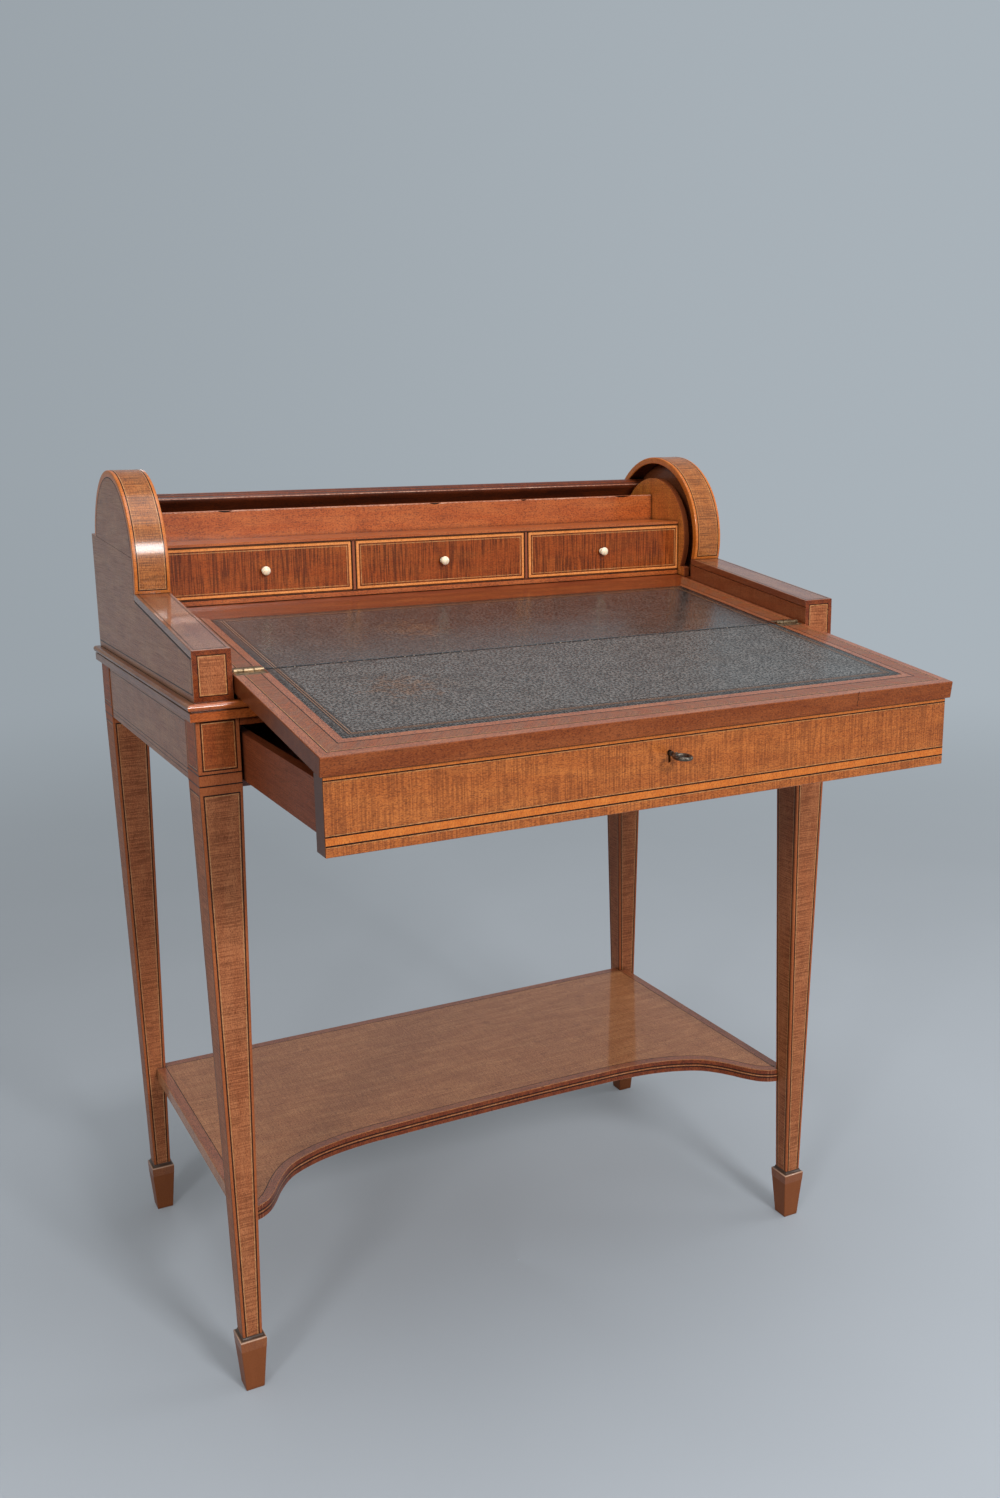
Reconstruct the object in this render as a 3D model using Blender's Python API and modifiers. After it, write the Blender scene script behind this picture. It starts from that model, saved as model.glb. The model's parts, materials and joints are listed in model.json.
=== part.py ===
"""Cylinder bureau: a lady's writing desk on tapered legs, built open as photographed.

Metres. +Z up, +Y to the back, +X to the sitter's right. The builders below work in a frame with y = 0
at the front of the legs; place() moves every piece so that the origin is the bottom centre of the whole.
"""

import math

import bmesh
import bpy
import numpy as np
from mathutils import Matrix, Vector

# Clearances
GAP = 0.0003  # between pieces that touch
RUN = 0.0008  # between the cylinder and the hood rims it runs under
BORE_PLAY = 0.0001  # radial play of a pin in its hole
GLUE = 0.00015  # under a skin in its recess
PAST = 0.004  # how far a cutter runs past the face it opens
EASE = 0.0005  # easing of the arrises on show wood
AXIS_MARK = 0.03  # drawn size of the marks on the joints' axes

# Carcass and legs
HALF_WIDTH = 0.3525
DEPTH = 0.4166
LEG = 0.0394
ANKLE = 0.0195
FOOT_HEIGHT = 0.052
FOOT_TOP = 0.0255
FOOT_BOTTOM = 0.0185
COLLAR = 0.006
WAIST = 0.6985
FRIEZE_HEIGHT = 0.0764
MOULDING_HEIGHT = 0.0159
MOULDING_OUT = 0.0076
RAIL_INSET = 0.0008
RAIL_T = 0.017
TOP_RAIL_CLEAR = 0.001
BEARER_T = 0.0092
BEARER_DEPTH = 0.025
RUNNER_WIDTH = 0.036
DUST_T = 0.006
DUST_DROP = 0.002

# Arms, hoods and cheeks
SLOPE = math.radians(7.96)
ARM_FRONT_HEIGHT = 0.0465
ARM_WIDTH = 0.0356
ARM_CAP = 0.0075
BOARD_T = 0.014
PANEL_BACK = 0.002
HOOD_RADIUS = 0.0962
HOOD_LEDGE = 0.0167
HOOD_RISE = 0.0113
RIM_T = 0.0075
JOINT_FRONT_Z = 0.0115
JOINT_RISE = 0.0714
BACK_T = 0.009
BACK_TOP = 0.0592
BACK_SHOULDER = 0.001

# Cylinder
SHELL_T = 0.0125
SHELL_SPAN = math.radians(165)
SHELL_OPEN = math.radians(126)
SHELL_END_PLAY = 0.002
CRANK_T = 0.008
CRANK_CLEAR = 0.0024
CRANK_SPAN = math.radians(58)
HUB_RADIUS = 0.013
PIVOT_RADIUS = 0.004
PIVOT_IN = 0.0085

# Writing bed and flap
HINGE_Y = 0.010
HINGE_GAP = 0.0003
BED_DROP = 0.0248
BED_T = 0.018
BED_EAR = 0.002
BED_SHORT = 0.0287
FLAP_T = 0.016
FLAP_CLEAR = 0.0045
FLAP_SIDE_PLAY = 0.0012
AXIS_LIFT = 0.0004
LEATHER_BORDER = 0.0334
LEATHER_FRONT = 0.0355
LEATHER_BACK = 0.055
LEATHER_T = 0.0011
LEATHER_SINK = 0.0001

# Hinges of the flap
HINGE_LENGTH = 0.028
HINGE_FROM_EDGE = 0.0175
LEAF_WIDTH = 0.0115
LEAF_T = 0.0012
KNUCKLE_RADIUS = 0.002
KNUCKLE_CLEAR = 0.0004
LEAF_STEP = 0.0002
HINGE_PIN_RADIUS = 0.0009

# Frieze drawer, lock and key
DRAWER_SETBACK = 0.0055
DRAWER_PLAY = 0.0006
DRAWER_SIDE_PLAY = 0.0026
DRAWER_HEADROOM = 0.002
DRAWER_FRONT_DROP = 0.0145
DRAWER_BACK_PLAY = 0.0285
DRAWER_FRONT_T = 0.020
DRAWER_FRONT_HEIGHT = 0.0645
DRAWER_SIDE_T = 0.009
DRAWER_BACK_T = 0.008
DRAWER_BOTTOM_T = 0.005
DRAWER_BOTTOM_LIFT = 0.004
DRAWER_TOP_STEP = 0.006
DRAWER_BACK_STEP = 0.004
LOCK_HALF_WIDTH = 0.0275
LOCK_T = 0.009
LOCK_HEIGHT = 0.036
LOCK_PLATE = 0.0015
KEY_DROP = 0.0175
KEYHOLE_RADIUS = 0.0026
KEYHOLE_SLOT = 0.0085
KEYHOLE_SLOT_WIDTH = 0.0024
KEY_WELL_CLEAR = 0.001
KEY_RADIUS = 0.0021
KEY_BIT_LENGTH = 0.0042
KEY_BIT_T = 0.0018
KEY_BIT_CLEAR = 0.0006
KEY_SHANK = 0.0145
KEY_BOW_LENGTH = 0.0205
KEY_BOW_WIDTH = 0.0165
KEY_WIRE = 0.0017

# Nest of small drawers
NEST_SETBACK = 0.0582
NEST_END_T = 0.007
NEST_END_CLEAR = 0.0044
NEST_FOOT = 0.0135
NEST_FOOT_HEIGHT = 0.0095
NEST_FOOT_CHAMFER = 0.002
NEST_LIFT = 0.0005
NEST_BASE_T = 0.006
NEST_OPENING = 0.0535
NEST_TOP_T = 0.004
NEST_TOP_OVERHANG = 0.0005
NEST_DEPTH = 0.060
NEST_BACK_T = 0.006
DIVIDER_T = 0.005
GALLERY_HEIGHT = 0.0306
SMALL_PLAY = 0.0006
SMALL_FRONT_T = 0.008
SMALL_WALL = 0.004
SMALL_DROP = 0.006
SMALL_TRAY_PLAY = 0.0004
SMALL_BOTTOM = 0.0026
SMALL_BACK_PLAY = 0.002
KNOB_RADIUS = 0.0048
KNOB_OUT = 0.0095
KNOB_STEM = 0.0021
KNOB_SPIGOT = 0.0055
KNOB_SQUASH = 0.86
KNOB_INWARD = 0.005  # the outer knobs stand this far nearer the middle than their drawers' centres

# Undershelf
SHELF_TOP = 0.186
SHELF_T = 0.015
SHELF_EDGE_INSET = 0.0013
SHELF_FRONT_DEPTH = 0.122
SHELF_EAR = 0.0275
SHELF_CURVE = ((0.0, 1.0), (0.24, 0.996), (0.412, 0.982), (0.508, 0.97), (0.608, 0.931), (0.702, 0.852),
               (0.786, 0.725), (0.83, 0.603), (0.87, 0.434), (0.901, 0.265), (0.93, 0.132), (0.954, 0.063),
               (0.976, 0.024), (1.0, 0.0))

# Sizes that follow from the ones above
FRIEZE_BOTTOM = WAIST - FRIEZE_HEIGHT
FRIEZE_TOP = WAIST - MOULDING_HEIGHT
ARM_FRONT_TOP = WAIST + ARM_FRONT_HEIGHT
INNER = HALF_WIDTH - ARM_WIDTH
BOARD_INNER = HALF_WIDTH - BOARD_T
LEG_INNER = HALF_WIDTH - LEG
RISE = math.tan(SLOPE)
AXIS_Y = DEPTH - HOOD_LEDGE - HOOD_RADIUS
RIM_INNER = HOOD_RADIUS - RIM_T
SHELL_OUTER = RIM_INNER - RUN
SHELL_INNER = SHELL_OUTER - SHELL_T
NEST_FRONT = AXIS_Y - NEST_SETBACK
FLAP_END = NEST_FRONT - FLAP_CLEAR
FLAP_FRONT = 2 * HINGE_Y - FLAP_END
FLAP_LENGTH = (HINGE_Y - FLAP_FRONT) / math.cos(SLOPE)
DRAWER_FACE = FLAP_FRONT + DRAWER_SETBACK
KEY_TIP = DRAWER_FACE - KEY_SHANK - KEY_BOW_LENGTH
BACK_RAIL_FACE = DEPTH - RAIL_INSET - RAIL_T
Y_MID = (KEY_TIP + DEPTH) / 2


def arm_top(y):
    return ARM_FRONT_TOP + y * RISE


def bed_top(y):
    return arm_top(y) - BED_DROP


AXIS_Z = arm_top(AXIS_Y) + HOOD_RISE
JOINT_Z = AXIS_Z + JOINT_FRONT_Z
HINGE_Z = bed_top(HINGE_Y)
DRAWER_TOP = bed_top(DRAWER_FACE) - FLAP_T / math.cos(SLOPE) - 2 * GAP
DRAWER_LIP = DRAWER_TOP - DRAWER_FRONT_HEIGHT
DRAWER_SEAT = DRAWER_LIP + DRAWER_FRONT_DROP
NEST_SEAT = bed_top(NEST_FRONT) + NEST_LIFT
NEST_FLOOR = NEST_SEAT + GAP + NEST_BASE_T
NEST_CEILING = NEST_FLOOR + NEST_OPENING
NEST_INNER = INNER - GAP
NEST_OUTER = NEST_INNER + NEST_END_T
BAY = 2 * (NEST_INNER - DIVIDER_T) / 3
BED_END = AXIS_Y - BED_SHORT
NEST_ARCH = SHELL_INNER - NEST_END_CLEAR

COLLECTION = "cylinder_bureau"
SIDES = (("left", -1), ("right", 1))


def clear_scene():
    for obj in list(bpy.data.objects):
        bpy.data.objects.remove(obj, do_unlink=True)
    for mesh in list(bpy.data.meshes):
        bpy.data.meshes.remove(mesh)


def collection(name):
    found = bpy.data.collections.get(name)
    if found is None:
        found = bpy.data.collections.new(name)
        bpy.context.scene.collection.children.link(found)
    return found


def material(name, colour, roughness, metallic=0.0):
    found = bpy.data.materials.get(name)
    if found is None:
        found = bpy.data.materials.new(name)
        found.use_nodes = True
        shader = found.node_tree.nodes["Principled BSDF"]
        shader.inputs["Base Color"].default_value = (*colour, 1.0)
        shader.inputs["Roughness"].default_value = roughness
        shader.inputs["Metallic"].default_value = metallic
        found.diffuse_color = (*colour, 1.0)
    return found


def mahogany():
    return material("polished_mahogany", (0.26, 0.085, 0.03), 0.25)


def satinwood():
    return material("banded_satinwood", (0.42, 0.16, 0.05), 0.25)


def lining():
    return material("drawer_lining", (0.33, 0.15, 0.06), 0.5)


def leather():
    return material("green_leather", (0.035, 0.04, 0.035), 0.45)


def brass():
    return material("old_brass", (0.6, 0.43, 0.18), 0.35, 1.0)


def iron():
    return material("dark_iron", (0.12, 0.11, 0.1), 0.4, 1.0)


def ivory():
    return material("turned_ivory", (0.8, 0.74, 0.6), 0.35)


def place(bm):
    bmesh.ops.translate(bm, verts=bm.verts, vec=(0, -Y_MID, 0))
    bmesh.ops.recalc_face_normals(bm, faces=bm.faces)
    return bm


def add(name, bm, mat, bevel=0.0):
    mesh = bpy.data.meshes.new(name)
    place(bm).to_mesh(mesh)
    bm.free()
    obj = bpy.data.objects.new(name, mesh)
    collection(COLLECTION).objects.link(obj)
    mesh.materials.append(mat)
    if bevel:
        soften(obj, bevel)
    return obj


def soften(obj, width):
    edge = obj.modifiers.new("eased edges", "BEVEL")
    edge.width = width
    edge.segments = 1
    edge.limit_method = "ANGLE"
    edge.angle_limit = math.radians(40)


def tool(name, bm):
    mesh = bpy.data.meshes.new(name)
    place(bm).to_mesh(mesh)
    bm.free()
    obj = bpy.data.objects.new(name, mesh)
    collection("cutters").objects.link(obj)
    obj.hide_render = True
    obj.display_type = "WIRE"
    return obj


def combine(obj, bm, name, operation):
    step = obj.modifiers.new(name, "BOOLEAN")
    step.operation = operation
    step.solver = "EXACT"
    step.object = tool(obj.name + "." + name, bm)


def cut(obj, bm, name):
    combine(obj, bm, name, "DIFFERENCE")


def unite(obj, bm, name):
    combine(obj, bm, name, "UNION")


def box(x, y, z):
    """A box from three (low, high) pairs, in either order."""
    low = Vector(min(pair) for pair in (x, y, z))
    high = Vector(max(pair) for pair in (x, y, z))
    size = high - low
    bm = bmesh.new()
    move = Matrix.Translation((low + high) / 2) @ Matrix.Diagonal((*size, 1.0))
    bmesh.ops.create_cube(bm, size=1.0, matrix=move)
    return bm


def prism(outline, span, axis="x"):
    """An outline pushed along X, its points being (y, z), or along Z, its points being (x, y)."""
    low, high = min(span), max(span)
    points = [(low, a, b) if axis == "x" else (a, b, low) for a, b in outline]
    step = (high - low, 0, 0) if axis == "x" else (0, 0, high - low)
    bm = bmesh.new()
    face = bm.faces.new([bm.verts.new(p) for p in points])
    pushed = bmesh.ops.extrude_face_region(bm, geom=[face])["geom"]
    bmesh.ops.translate(bm, verts=[v for v in pushed if isinstance(v, bmesh.types.BMVert)], vec=step)
    return bm


def rod(radius, start, end, steps=24):
    """A round bar between two points."""
    start, end = Vector(start), Vector(end)
    along = end - start
    turn = along.to_track_quat("Z", "Y").to_matrix().to_4x4()
    bm = bmesh.new()
    bmesh.ops.create_cone(bm, cap_ends=True, segments=steps, radius1=radius, radius2=radius,
                          depth=along.length, matrix=Matrix.Translation((start + end) / 2) @ turn)
    return bm


def lathe(name, profile, steps, mat, turn, at):
    """A profile of (radius, height) turned about its own Z by a Screw modifier."""
    mesh = bpy.data.meshes.new(name)
    points = [(r, 0.0, h) for r, h in profile]
    mesh.from_pydata(points, [(i, i + 1) for i in range(len(points) - 1)], [])
    obj = bpy.data.objects.new(name, mesh)
    collection(COLLECTION).objects.link(obj)
    mesh.materials.append(mat)
    screw = obj.modifiers.new("turned", "SCREW")
    screw.steps = screw.render_steps = steps
    screw.use_merge_vertices = True
    screw.merge_threshold = 1e-5
    screw.use_normal_flip = True
    screw.use_smooth_shade = False
    obj.matrix_world = Matrix.Translation((at[0], at[1] - Y_MID, at[2])) @ turn
    return obj


def arc(radius, start, end, steps):
    """Points at angles from the front horizontal, up over the top, about the cylinder's axis."""
    angles = np.linspace(start, end, steps + 1)
    return [(AXIS_Y - radius * math.cos(t), AXIS_Z + radius * math.sin(t)) for t in angles]


def meet(radius, rise, height, back):
    """The angle where a circle about the axis meets the line of that rise and height at the axis."""
    tilt = math.atan(rise)
    dip = math.asin((height - AXIS_Z) * math.cos(tilt) / radius)
    return math.pi - dip - tilt if back else dip - tilt


CAP_REAR = AXIS_Y - RIM_INNER * math.cos(meet(RIM_INNER, RISE, arm_top(AXIS_Y), False))


def on_slope(u, w):
    """(y, z) of a point u behind the hinge line along the slope and w above the writing surface."""
    return (HINGE_Y + u * math.cos(SLOPE) - w * math.sin(SLOPE),
            HINGE_Z + u * math.sin(SLOPE) + w * math.cos(SLOPE))


def slope_box(x, u, w):
    """A box in the slope's own directions."""
    corners = [on_slope(*p) for p in ((u[0], w[0]), (u[1], w[0]), (u[1], w[1]), (u[0], w[1]))]
    return prism(corners, x)


def joint_line(y):
    return JOINT_Z + (y - AXIS_Y + RIM_INNER) * JOINT_RISE


def leg_half(z):
    return (ANKLE + (LEG - ANKLE) * (z - FOOT_HEIGHT - COLLAR) / (FRIEZE_BOTTOM - FOOT_HEIGHT - COLLAR)) / 2


def build_legs():
    square = math.sqrt(2) / 2
    sizes = ((0, 0), (FOOT_BOTTOM, 0), (FOOT_TOP, FOOT_HEIGHT - COLLAR), (FOOT_TOP, FOOT_HEIGHT - COLLAR / 2),
             (ANKLE, FOOT_HEIGHT + COLLAR), (LEG, FRIEZE_BOTTOM), (LEG, WAIST - GAP), (0, WAIST - GAP))
    profile = [(width * square, height) for width, height in sizes]
    for side, s in SIDES:
        for end, y in (("front", LEG / 2), ("back", DEPTH - LEG / 2)):
            at = (s * (HALF_WIDTH - LEG / 2), y, 0)
            leg = lathe(f"leg_{end}_{side}", profile, 4, mahogany(), Matrix.Rotation(math.pi / 4, 4, "Z"), at)
            soften(leg, EASE)


def build_frieze():
    behind = DRAWER_FRONT_T + 2 * GAP
    bearer_back = behind + BEARER_DEPTH
    for side, s in SIDES:
        outer = HALF_WIDTH - RAIL_INSET
        add(f"side_rail_{side}", box((s * outer, s * (outer - RAIL_T)), (LEG + GAP, DEPTH - LEG - GAP),
                                     (FRIEZE_BOTTOM, WAIST - GAP)), mahogany())
        runner_in = LEG_INNER + RAIL_T / 2 - RUNNER_WIDTH / 2
        add(f"drawer_runner_{side}",
            box((s * runner_in, s * (outer - RAIL_T - GAP)), (bearer_back + GAP, DEPTH - LEG - GAP),
                (DRAWER_SEAT - BEARER_T - GAP, DRAWER_SEAT - GAP)), lining())
    between = (-LEG_INNER + GAP, LEG_INNER - GAP)
    add("back_rail", box(between, (BACK_RAIL_FACE, DEPTH - RAIL_INSET), (FRIEZE_BOTTOM, WAIST - GAP)),
        mahogany())
    rail_top = bed_top(HINGE_Y) - BED_T / math.cos(SLOPE) - 2 * GAP - TOP_RAIL_CLEAR
    add("front_top_rail", box(between, (0, LEG), (DRAWER_TOP + DRAWER_HEADROOM, rail_top)), mahogany())
    add("front_bearer", box(between, (behind, bearer_back),
                            (DRAWER_SEAT - BEARER_T - GAP, DRAWER_SEAT - GAP)), mahogany())
    inside = HALF_WIDTH - RAIL_INSET - RAIL_T - GAP
    add("dust_board", box((-inside, inside), (LEG + GAP, DEPTH - LEG - GAP),
                          (WAIST - DUST_DROP - DUST_T, WAIST - DUST_DROP)), lining())


def build_waist_moulding():
    tall = WAIST - FRIEZE_TOP
    turns = np.linspace(-math.pi / 2, math.pi / 2, 9)
    swell = [(MOULDING_OUT * math.cos(t), FRIEZE_TOP + tall / 2 + tall / 2 * math.sin(t)) for t in turns]
    profile = [(GAP + max(d, EASE), z) for d, z in swell]
    profile = [(GAP, FRIEZE_TOP)] + profile + [(GAP, WAIST)]
    front = bmesh.new()
    ends = []
    for s in (-1, 1):
        ends.append([front.verts.new((s * (HALF_WIDTH + d - GAP / 2), -d, z)) for d, z in profile])
    close_rings(front, ends)
    add("waist_moulding_front", front, mahogany())
    for side, s in SIDES:
        bm = bmesh.new()
        x = [s * (HALF_WIDTH + d) for d, z in profile]
        start = [bm.verts.new((x[i], -d + GAP / 2, z)) for i, (d, z) in enumerate(profile)]
        end = [bm.verts.new((x[i], DEPTH, z)) for i, (d, z) in enumerate(profile)]
        close_rings(bm, [start, end])
        add(f"waist_moulding_{side}", bm, mahogany())


def close_rings(bm, rings):
    """Skins two rings of the same count and caps both ends."""
    edges = []
    for ring in rings:
        edges += [bm.edges.new((a, b)) for a, b in zip(ring, ring[1:] + ring[:1])]
    bmesh.ops.bridge_loops(bm, edges=edges)
    for ring in rings:
        bm.faces.new(ring)


def build_undershelf():
    half = leg_half(SHELF_TOP) + GAP
    post = HALF_WIDTH - LEG / 2
    notch, edge = post - half, post - SHELF_EDGE_INSET
    front_notch, back_notch = LEG / 2 + half, DEPTH - LEG / 2 - half
    knots = np.array(SHELF_CURVE)
    fine = np.linspace(0, len(knots) - 1, 4 * len(knots) - 3)
    curve = np.stack([smooth(knots[:, k], fine) for k in (0, 1)], axis=1)
    xs = np.clip(curve[:, 0], 0, 1) * notch
    ys = SHELF_EAR + curve[:, 1] * (SHELF_FRONT_DEPTH - SHELF_EAR)
    back = DEPTH - LEG / 2
    right = list(zip(xs, ys)) + [(notch, front_notch), (edge, front_notch), (edge, back_notch),
                                 (notch, back_notch), (notch, back)]
    outline = right + [(-x, y) for x, y in reversed(right[1:])]
    add("undershelf", prism(outline, (SHELF_TOP - SHELF_T, SHELF_TOP), "z"), mahogany(), EASE)


def smooth(values, at):
    """Catmull-Rom interpolation of evenly numbered values."""
    padded = np.concatenate([[2 * values[0] - values[1]], values, [2 * values[-1] - values[-2]]])
    i = np.minimum(at.astype(int), len(values) - 2)
    t = at - i
    a, b, c, d = (padded[i + k] for k in range(4))
    return b + 0.5 * t * (c - a + t * (2 * a - 5 * b + 4 * c - d + t * (3 * (b - c) + d - a)))


def build_ends():
    cap_drop = ARM_CAP / math.cos(SLOPE)
    back = DEPTH - PANEL_BACK
    low = WAIST + GAP
    board_r = RIM_INNER - GAP
    rise_at_axis = joint_line(AXIS_Y)
    cap_end = CAP_REAR + GAP
    start = -math.acos((AXIS_Y - cap_end) / board_r)
    board = [(0, low), (back, low), (back, joint_line(back))]
    board += list(reversed(arc(board_r, start, meet(board_r, JOINT_RISE, rise_at_axis, False), 8)))
    board += [(cap_end, arm_top(cap_end) - cap_drop - GAP), (0, arm_top(0) - cap_drop - GAP)]
    block = [(0, low), (CAP_REAR, low), (CAP_REAR, arm_top(CAP_REAR) - cap_drop - GAP),
             (0, arm_top(0) - cap_drop - GAP)]
    cap = [(0, arm_top(0) - cap_drop), (CAP_REAR, arm_top(CAP_REAR) - cap_drop),
           (CAP_REAR, arm_top(CAP_REAR)), (0, arm_top(0))]
    above = rise_at_axis + GAP
    cheek = arc(board_r, meet(board_r, JOINT_RISE, above, False), meet(board_r, JOINT_RISE, above, True), 40)
    arm_at_axis = arm_top(AXIS_Y) + GAP
    rim = arc(HOOD_RADIUS, meet(HOOD_RADIUS, RISE, arm_at_axis, False),
              meet(HOOD_RADIUS, JOINT_RISE, above, True), 48)
    rim += reversed(arc(RIM_INNER, meet(RIM_INNER, RISE, arm_at_axis, False),
                        meet(RIM_INNER, JOINT_RISE, above, True), 48))
    for side, s in SIDES:
        outer, inner, edge = s * HALF_WIDTH, s * BOARD_INNER, s * INNER
        panel = add(f"end_panel_{side}", prism(board, (inner, outer)), mahogany())
        unite(panel, prism(block, (edge, outer)), "arm")
        pivot_end = s * (BOARD_INNER + PIVOT_IN + GAP)
        cut(panel, rod(PIVOT_RADIUS + BORE_PLAY, (inner - s * PAST, AXIS_Y, AXIS_Z),
                       (pivot_end, AXIS_Y, AXIS_Z)), "pivot")
        add(f"arm_cap_{side}", prism(cap, (edge, outer)), mahogany(), EASE)
        add(f"cheek_{side}", prism(cheek, (inner, outer)), mahogany())
        add(f"hood_rim_{side}", prism(rim, (edge, outer)), satinwood(), EASE)


def build_back_board():
    inner = AXIS_Y + SHELL_OUTER + 2 * RUN
    wide, narrow = BOARD_INNER - GAP, INNER - 3 * GAP
    shoulder = joint_line(inner) - BACK_SHOULDER
    top = AXIS_Z + BACK_TOP
    outline = [(-wide, WAIST + GAP), (wide, WAIST + GAP), (wide, shoulder), (narrow, shoulder), (narrow, top),
               (-narrow, top), (-narrow, shoulder), (-wide, shoulder)]
    bm = bmesh.new()
    face = bm.faces.new([bm.verts.new((x, inner, z)) for x, z in outline])
    pushed = bmesh.ops.extrude_face_region(bm, geom=[face])["geom"]
    bmesh.ops.translate(bm, verts=[v for v in pushed if isinstance(v, bmesh.types.BMVert)],
                        vec=(0, BACK_T, 0))
    add("back_board", bm, mahogany(), EASE)


def build_bed():
    under = BED_T / math.cos(SLOPE)
    level = (NEST_SEAT - bed_top(0)) / RISE
    outline = [on_slope(HINGE_GAP, -BED_T), (BED_END, bed_top(BED_END) - under), (BED_END, NEST_SEAT),
               (level, NEST_SEAT), on_slope(HINGE_GAP, 0)]
    ear, narrow = NEST_OUTER + BED_EAR, INNER - GAP
    bed = add("writing_bed", prism(outline, (-ear, ear)), mahogany(), EASE)
    for side, s in SIDES:
        cut(bed, box((s * narrow, s * (ear + PAST)), (-PAST, CAP_REAR + 2 * GAP), (WAIST, AXIS_Z)),
            f"arm {side}")
    leather_end = (NEST_FRONT - LEATHER_BACK - HINGE_Y) / math.cos(SLOPE)
    add_leather(bed, "bed_leather", (HINGE_GAP, leather_end), (0, 1))
    return bed


def build_flap():
    half = INNER - FLAP_SIDE_PLAY
    flap = add("writing_flap", slope_box((-half, half), (-FLAP_LENGTH, -HINGE_GAP), (-FLAP_T, 0)), mahogany(),
               EASE)
    skin = add_leather(flap, "flap_leather", (-FLAP_LENGTH + LEATHER_FRONT, -HINGE_GAP), (1, 0))
    return flap, skin


def add_leather(board, name, along, overrun):
    """Sinks a leather skin into a board, its recess open at the hinge line."""
    half = INNER - LEATHER_BORDER
    floor = -LEATHER_SINK - LEATHER_T - GLUE
    start = along[0] - (GAP if overrun[0] else PAST)
    end = along[1] + (GAP if overrun[1] else PAST)
    cut(board, slope_box((-half - GAP, half + GAP), (start, end), (floor, PAST)), name)
    return add(name, slope_box((-half, half), along, (-LEATHER_SINK - LEATHER_T, -LEATHER_SINK)), leather())


def tongue(span, way):
    """The strip of a leaf that runs in to its knuckle, a little thinner and shorter than both."""
    u = sorted((way * (HINGE_PIN_RADIUS - LEAF_STEP), way * (KNUCKLE_RADIUS + KNUCKLE_CLEAR + LEAF_T)))
    w = (-LEAF_T - LEATHER_SINK + LEAF_STEP, -LEATHER_SINK - LEAF_STEP)
    return slope_box((span[0] + 2 * LEAF_STEP, span[1] - 2 * LEAF_STEP), u, w)


def knuckle(span):
    y, z = on_slope(0, AXIS_LIFT)
    return rod(KNUCKLE_RADIUS, (span[0] + LEAF_STEP, y, z), (span[1] - LEAF_STEP, y, z))


def build_flap_hinges(bed, flap):
    """Two brass hinges, their leaves let into the top and the pin part of the bed's leaf."""
    moving = []
    reach = KNUCKLE_RADIUS + KNUCKLE_CLEAR
    third = HINGE_LENGTH / 3
    for side, s in SIDES:
        mid = s * (INNER - HINGE_FROM_EDGE)
        ends = (mid - HINGE_LENGTH / 2, mid + HINGE_LENGTH / 2)
        middle = (mid - third / 2, mid + third / 2)
        room = (ends[0] - GAP, ends[1] + GAP)
        axis_y, axis_z = on_slope(0, AXIS_LIFT)
        sunk = (-LEAF_T - LEATHER_SINK, -LEATHER_SINK)
        for board, way in ((bed, 1), (flap, -1)):
            cut(board, slope_box(room, sorted((0, way * (LEAF_WIDTH + GAP))), (sunk[0] - GAP, PAST)),
                f"leaf {side}")
            cut(board, rod(reach, (room[0], axis_y, axis_z), (room[1], axis_y, axis_z)), f"knuckle {side}")
        fixed = add(f"bed_hinge_{side}", slope_box(ends, (reach, LEAF_WIDTH), sunk), brass())
        for n, span in enumerate(((ends[0], middle[0] - GAP), (middle[1] + GAP, ends[1]))):
            unite(fixed, tongue(span, 1), f"tongue {n}")
            unite(fixed, knuckle(span), f"knuckle {n}")
        pin = (ends[0] + LEAF_T, axis_y, axis_z), (ends[1] - LEAF_T, axis_y, axis_z)
        unite(fixed, rod(HINGE_PIN_RADIUS, *pin, 16), "pin")
        leaf = add(f"flap_hinge_{side}", slope_box(ends, (-LEAF_WIDTH, -reach), sunk), brass())
        unite(leaf, tongue(middle, -1), "tongue")
        unite(leaf, knuckle(middle), "knuckle")
        cut(leaf, rod(HINGE_PIN_RADIUS + BORE_PLAY, (ends[0], axis_y, axis_z), (ends[1], axis_y, axis_z), 16),
            "bore")
        moving.append(leaf)
    return moving


def build_cylinder():
    shell = arc(SHELL_OUTER, SHELL_OPEN, SHELL_OPEN + SHELL_SPAN, 54)
    shell += reversed(arc(SHELL_INNER, SHELL_OPEN, SHELL_OPEN + SHELL_SPAN, 54))
    half = BOARD_INNER - SHELL_END_PLAY
    pieces = [add("cylinder_shell", prism(shell, (-half, half)), mahogany(), EASE)]
    middle = SHELL_OPEN + SHELL_SPAN / 2
    rim = arc(SHELL_INNER - GAP, middle - CRANK_SPAN / 2, middle + CRANK_SPAN / 2, 16)
    hub = arc(HUB_RADIUS, middle + math.pi / 2, middle + math.pi * 1.5, 16)
    for side, s in SIDES:
        near = s * (NEST_OUTER + CRANK_CLEAR)
        far = near + s * CRANK_T
        crank = add(f"cylinder_crank_{side}", prism(rim + hub, (near, far)), mahogany())
        unite(crank, rod(PIVOT_RADIUS, (near + s * CRANK_T / 2, AXIS_Y, AXIS_Z),
                         (s * (BOARD_INNER + PIVOT_IN), AXIS_Y, AXIS_Z)), "pivot")
        pieces.append(crank)
    return pieces


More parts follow.
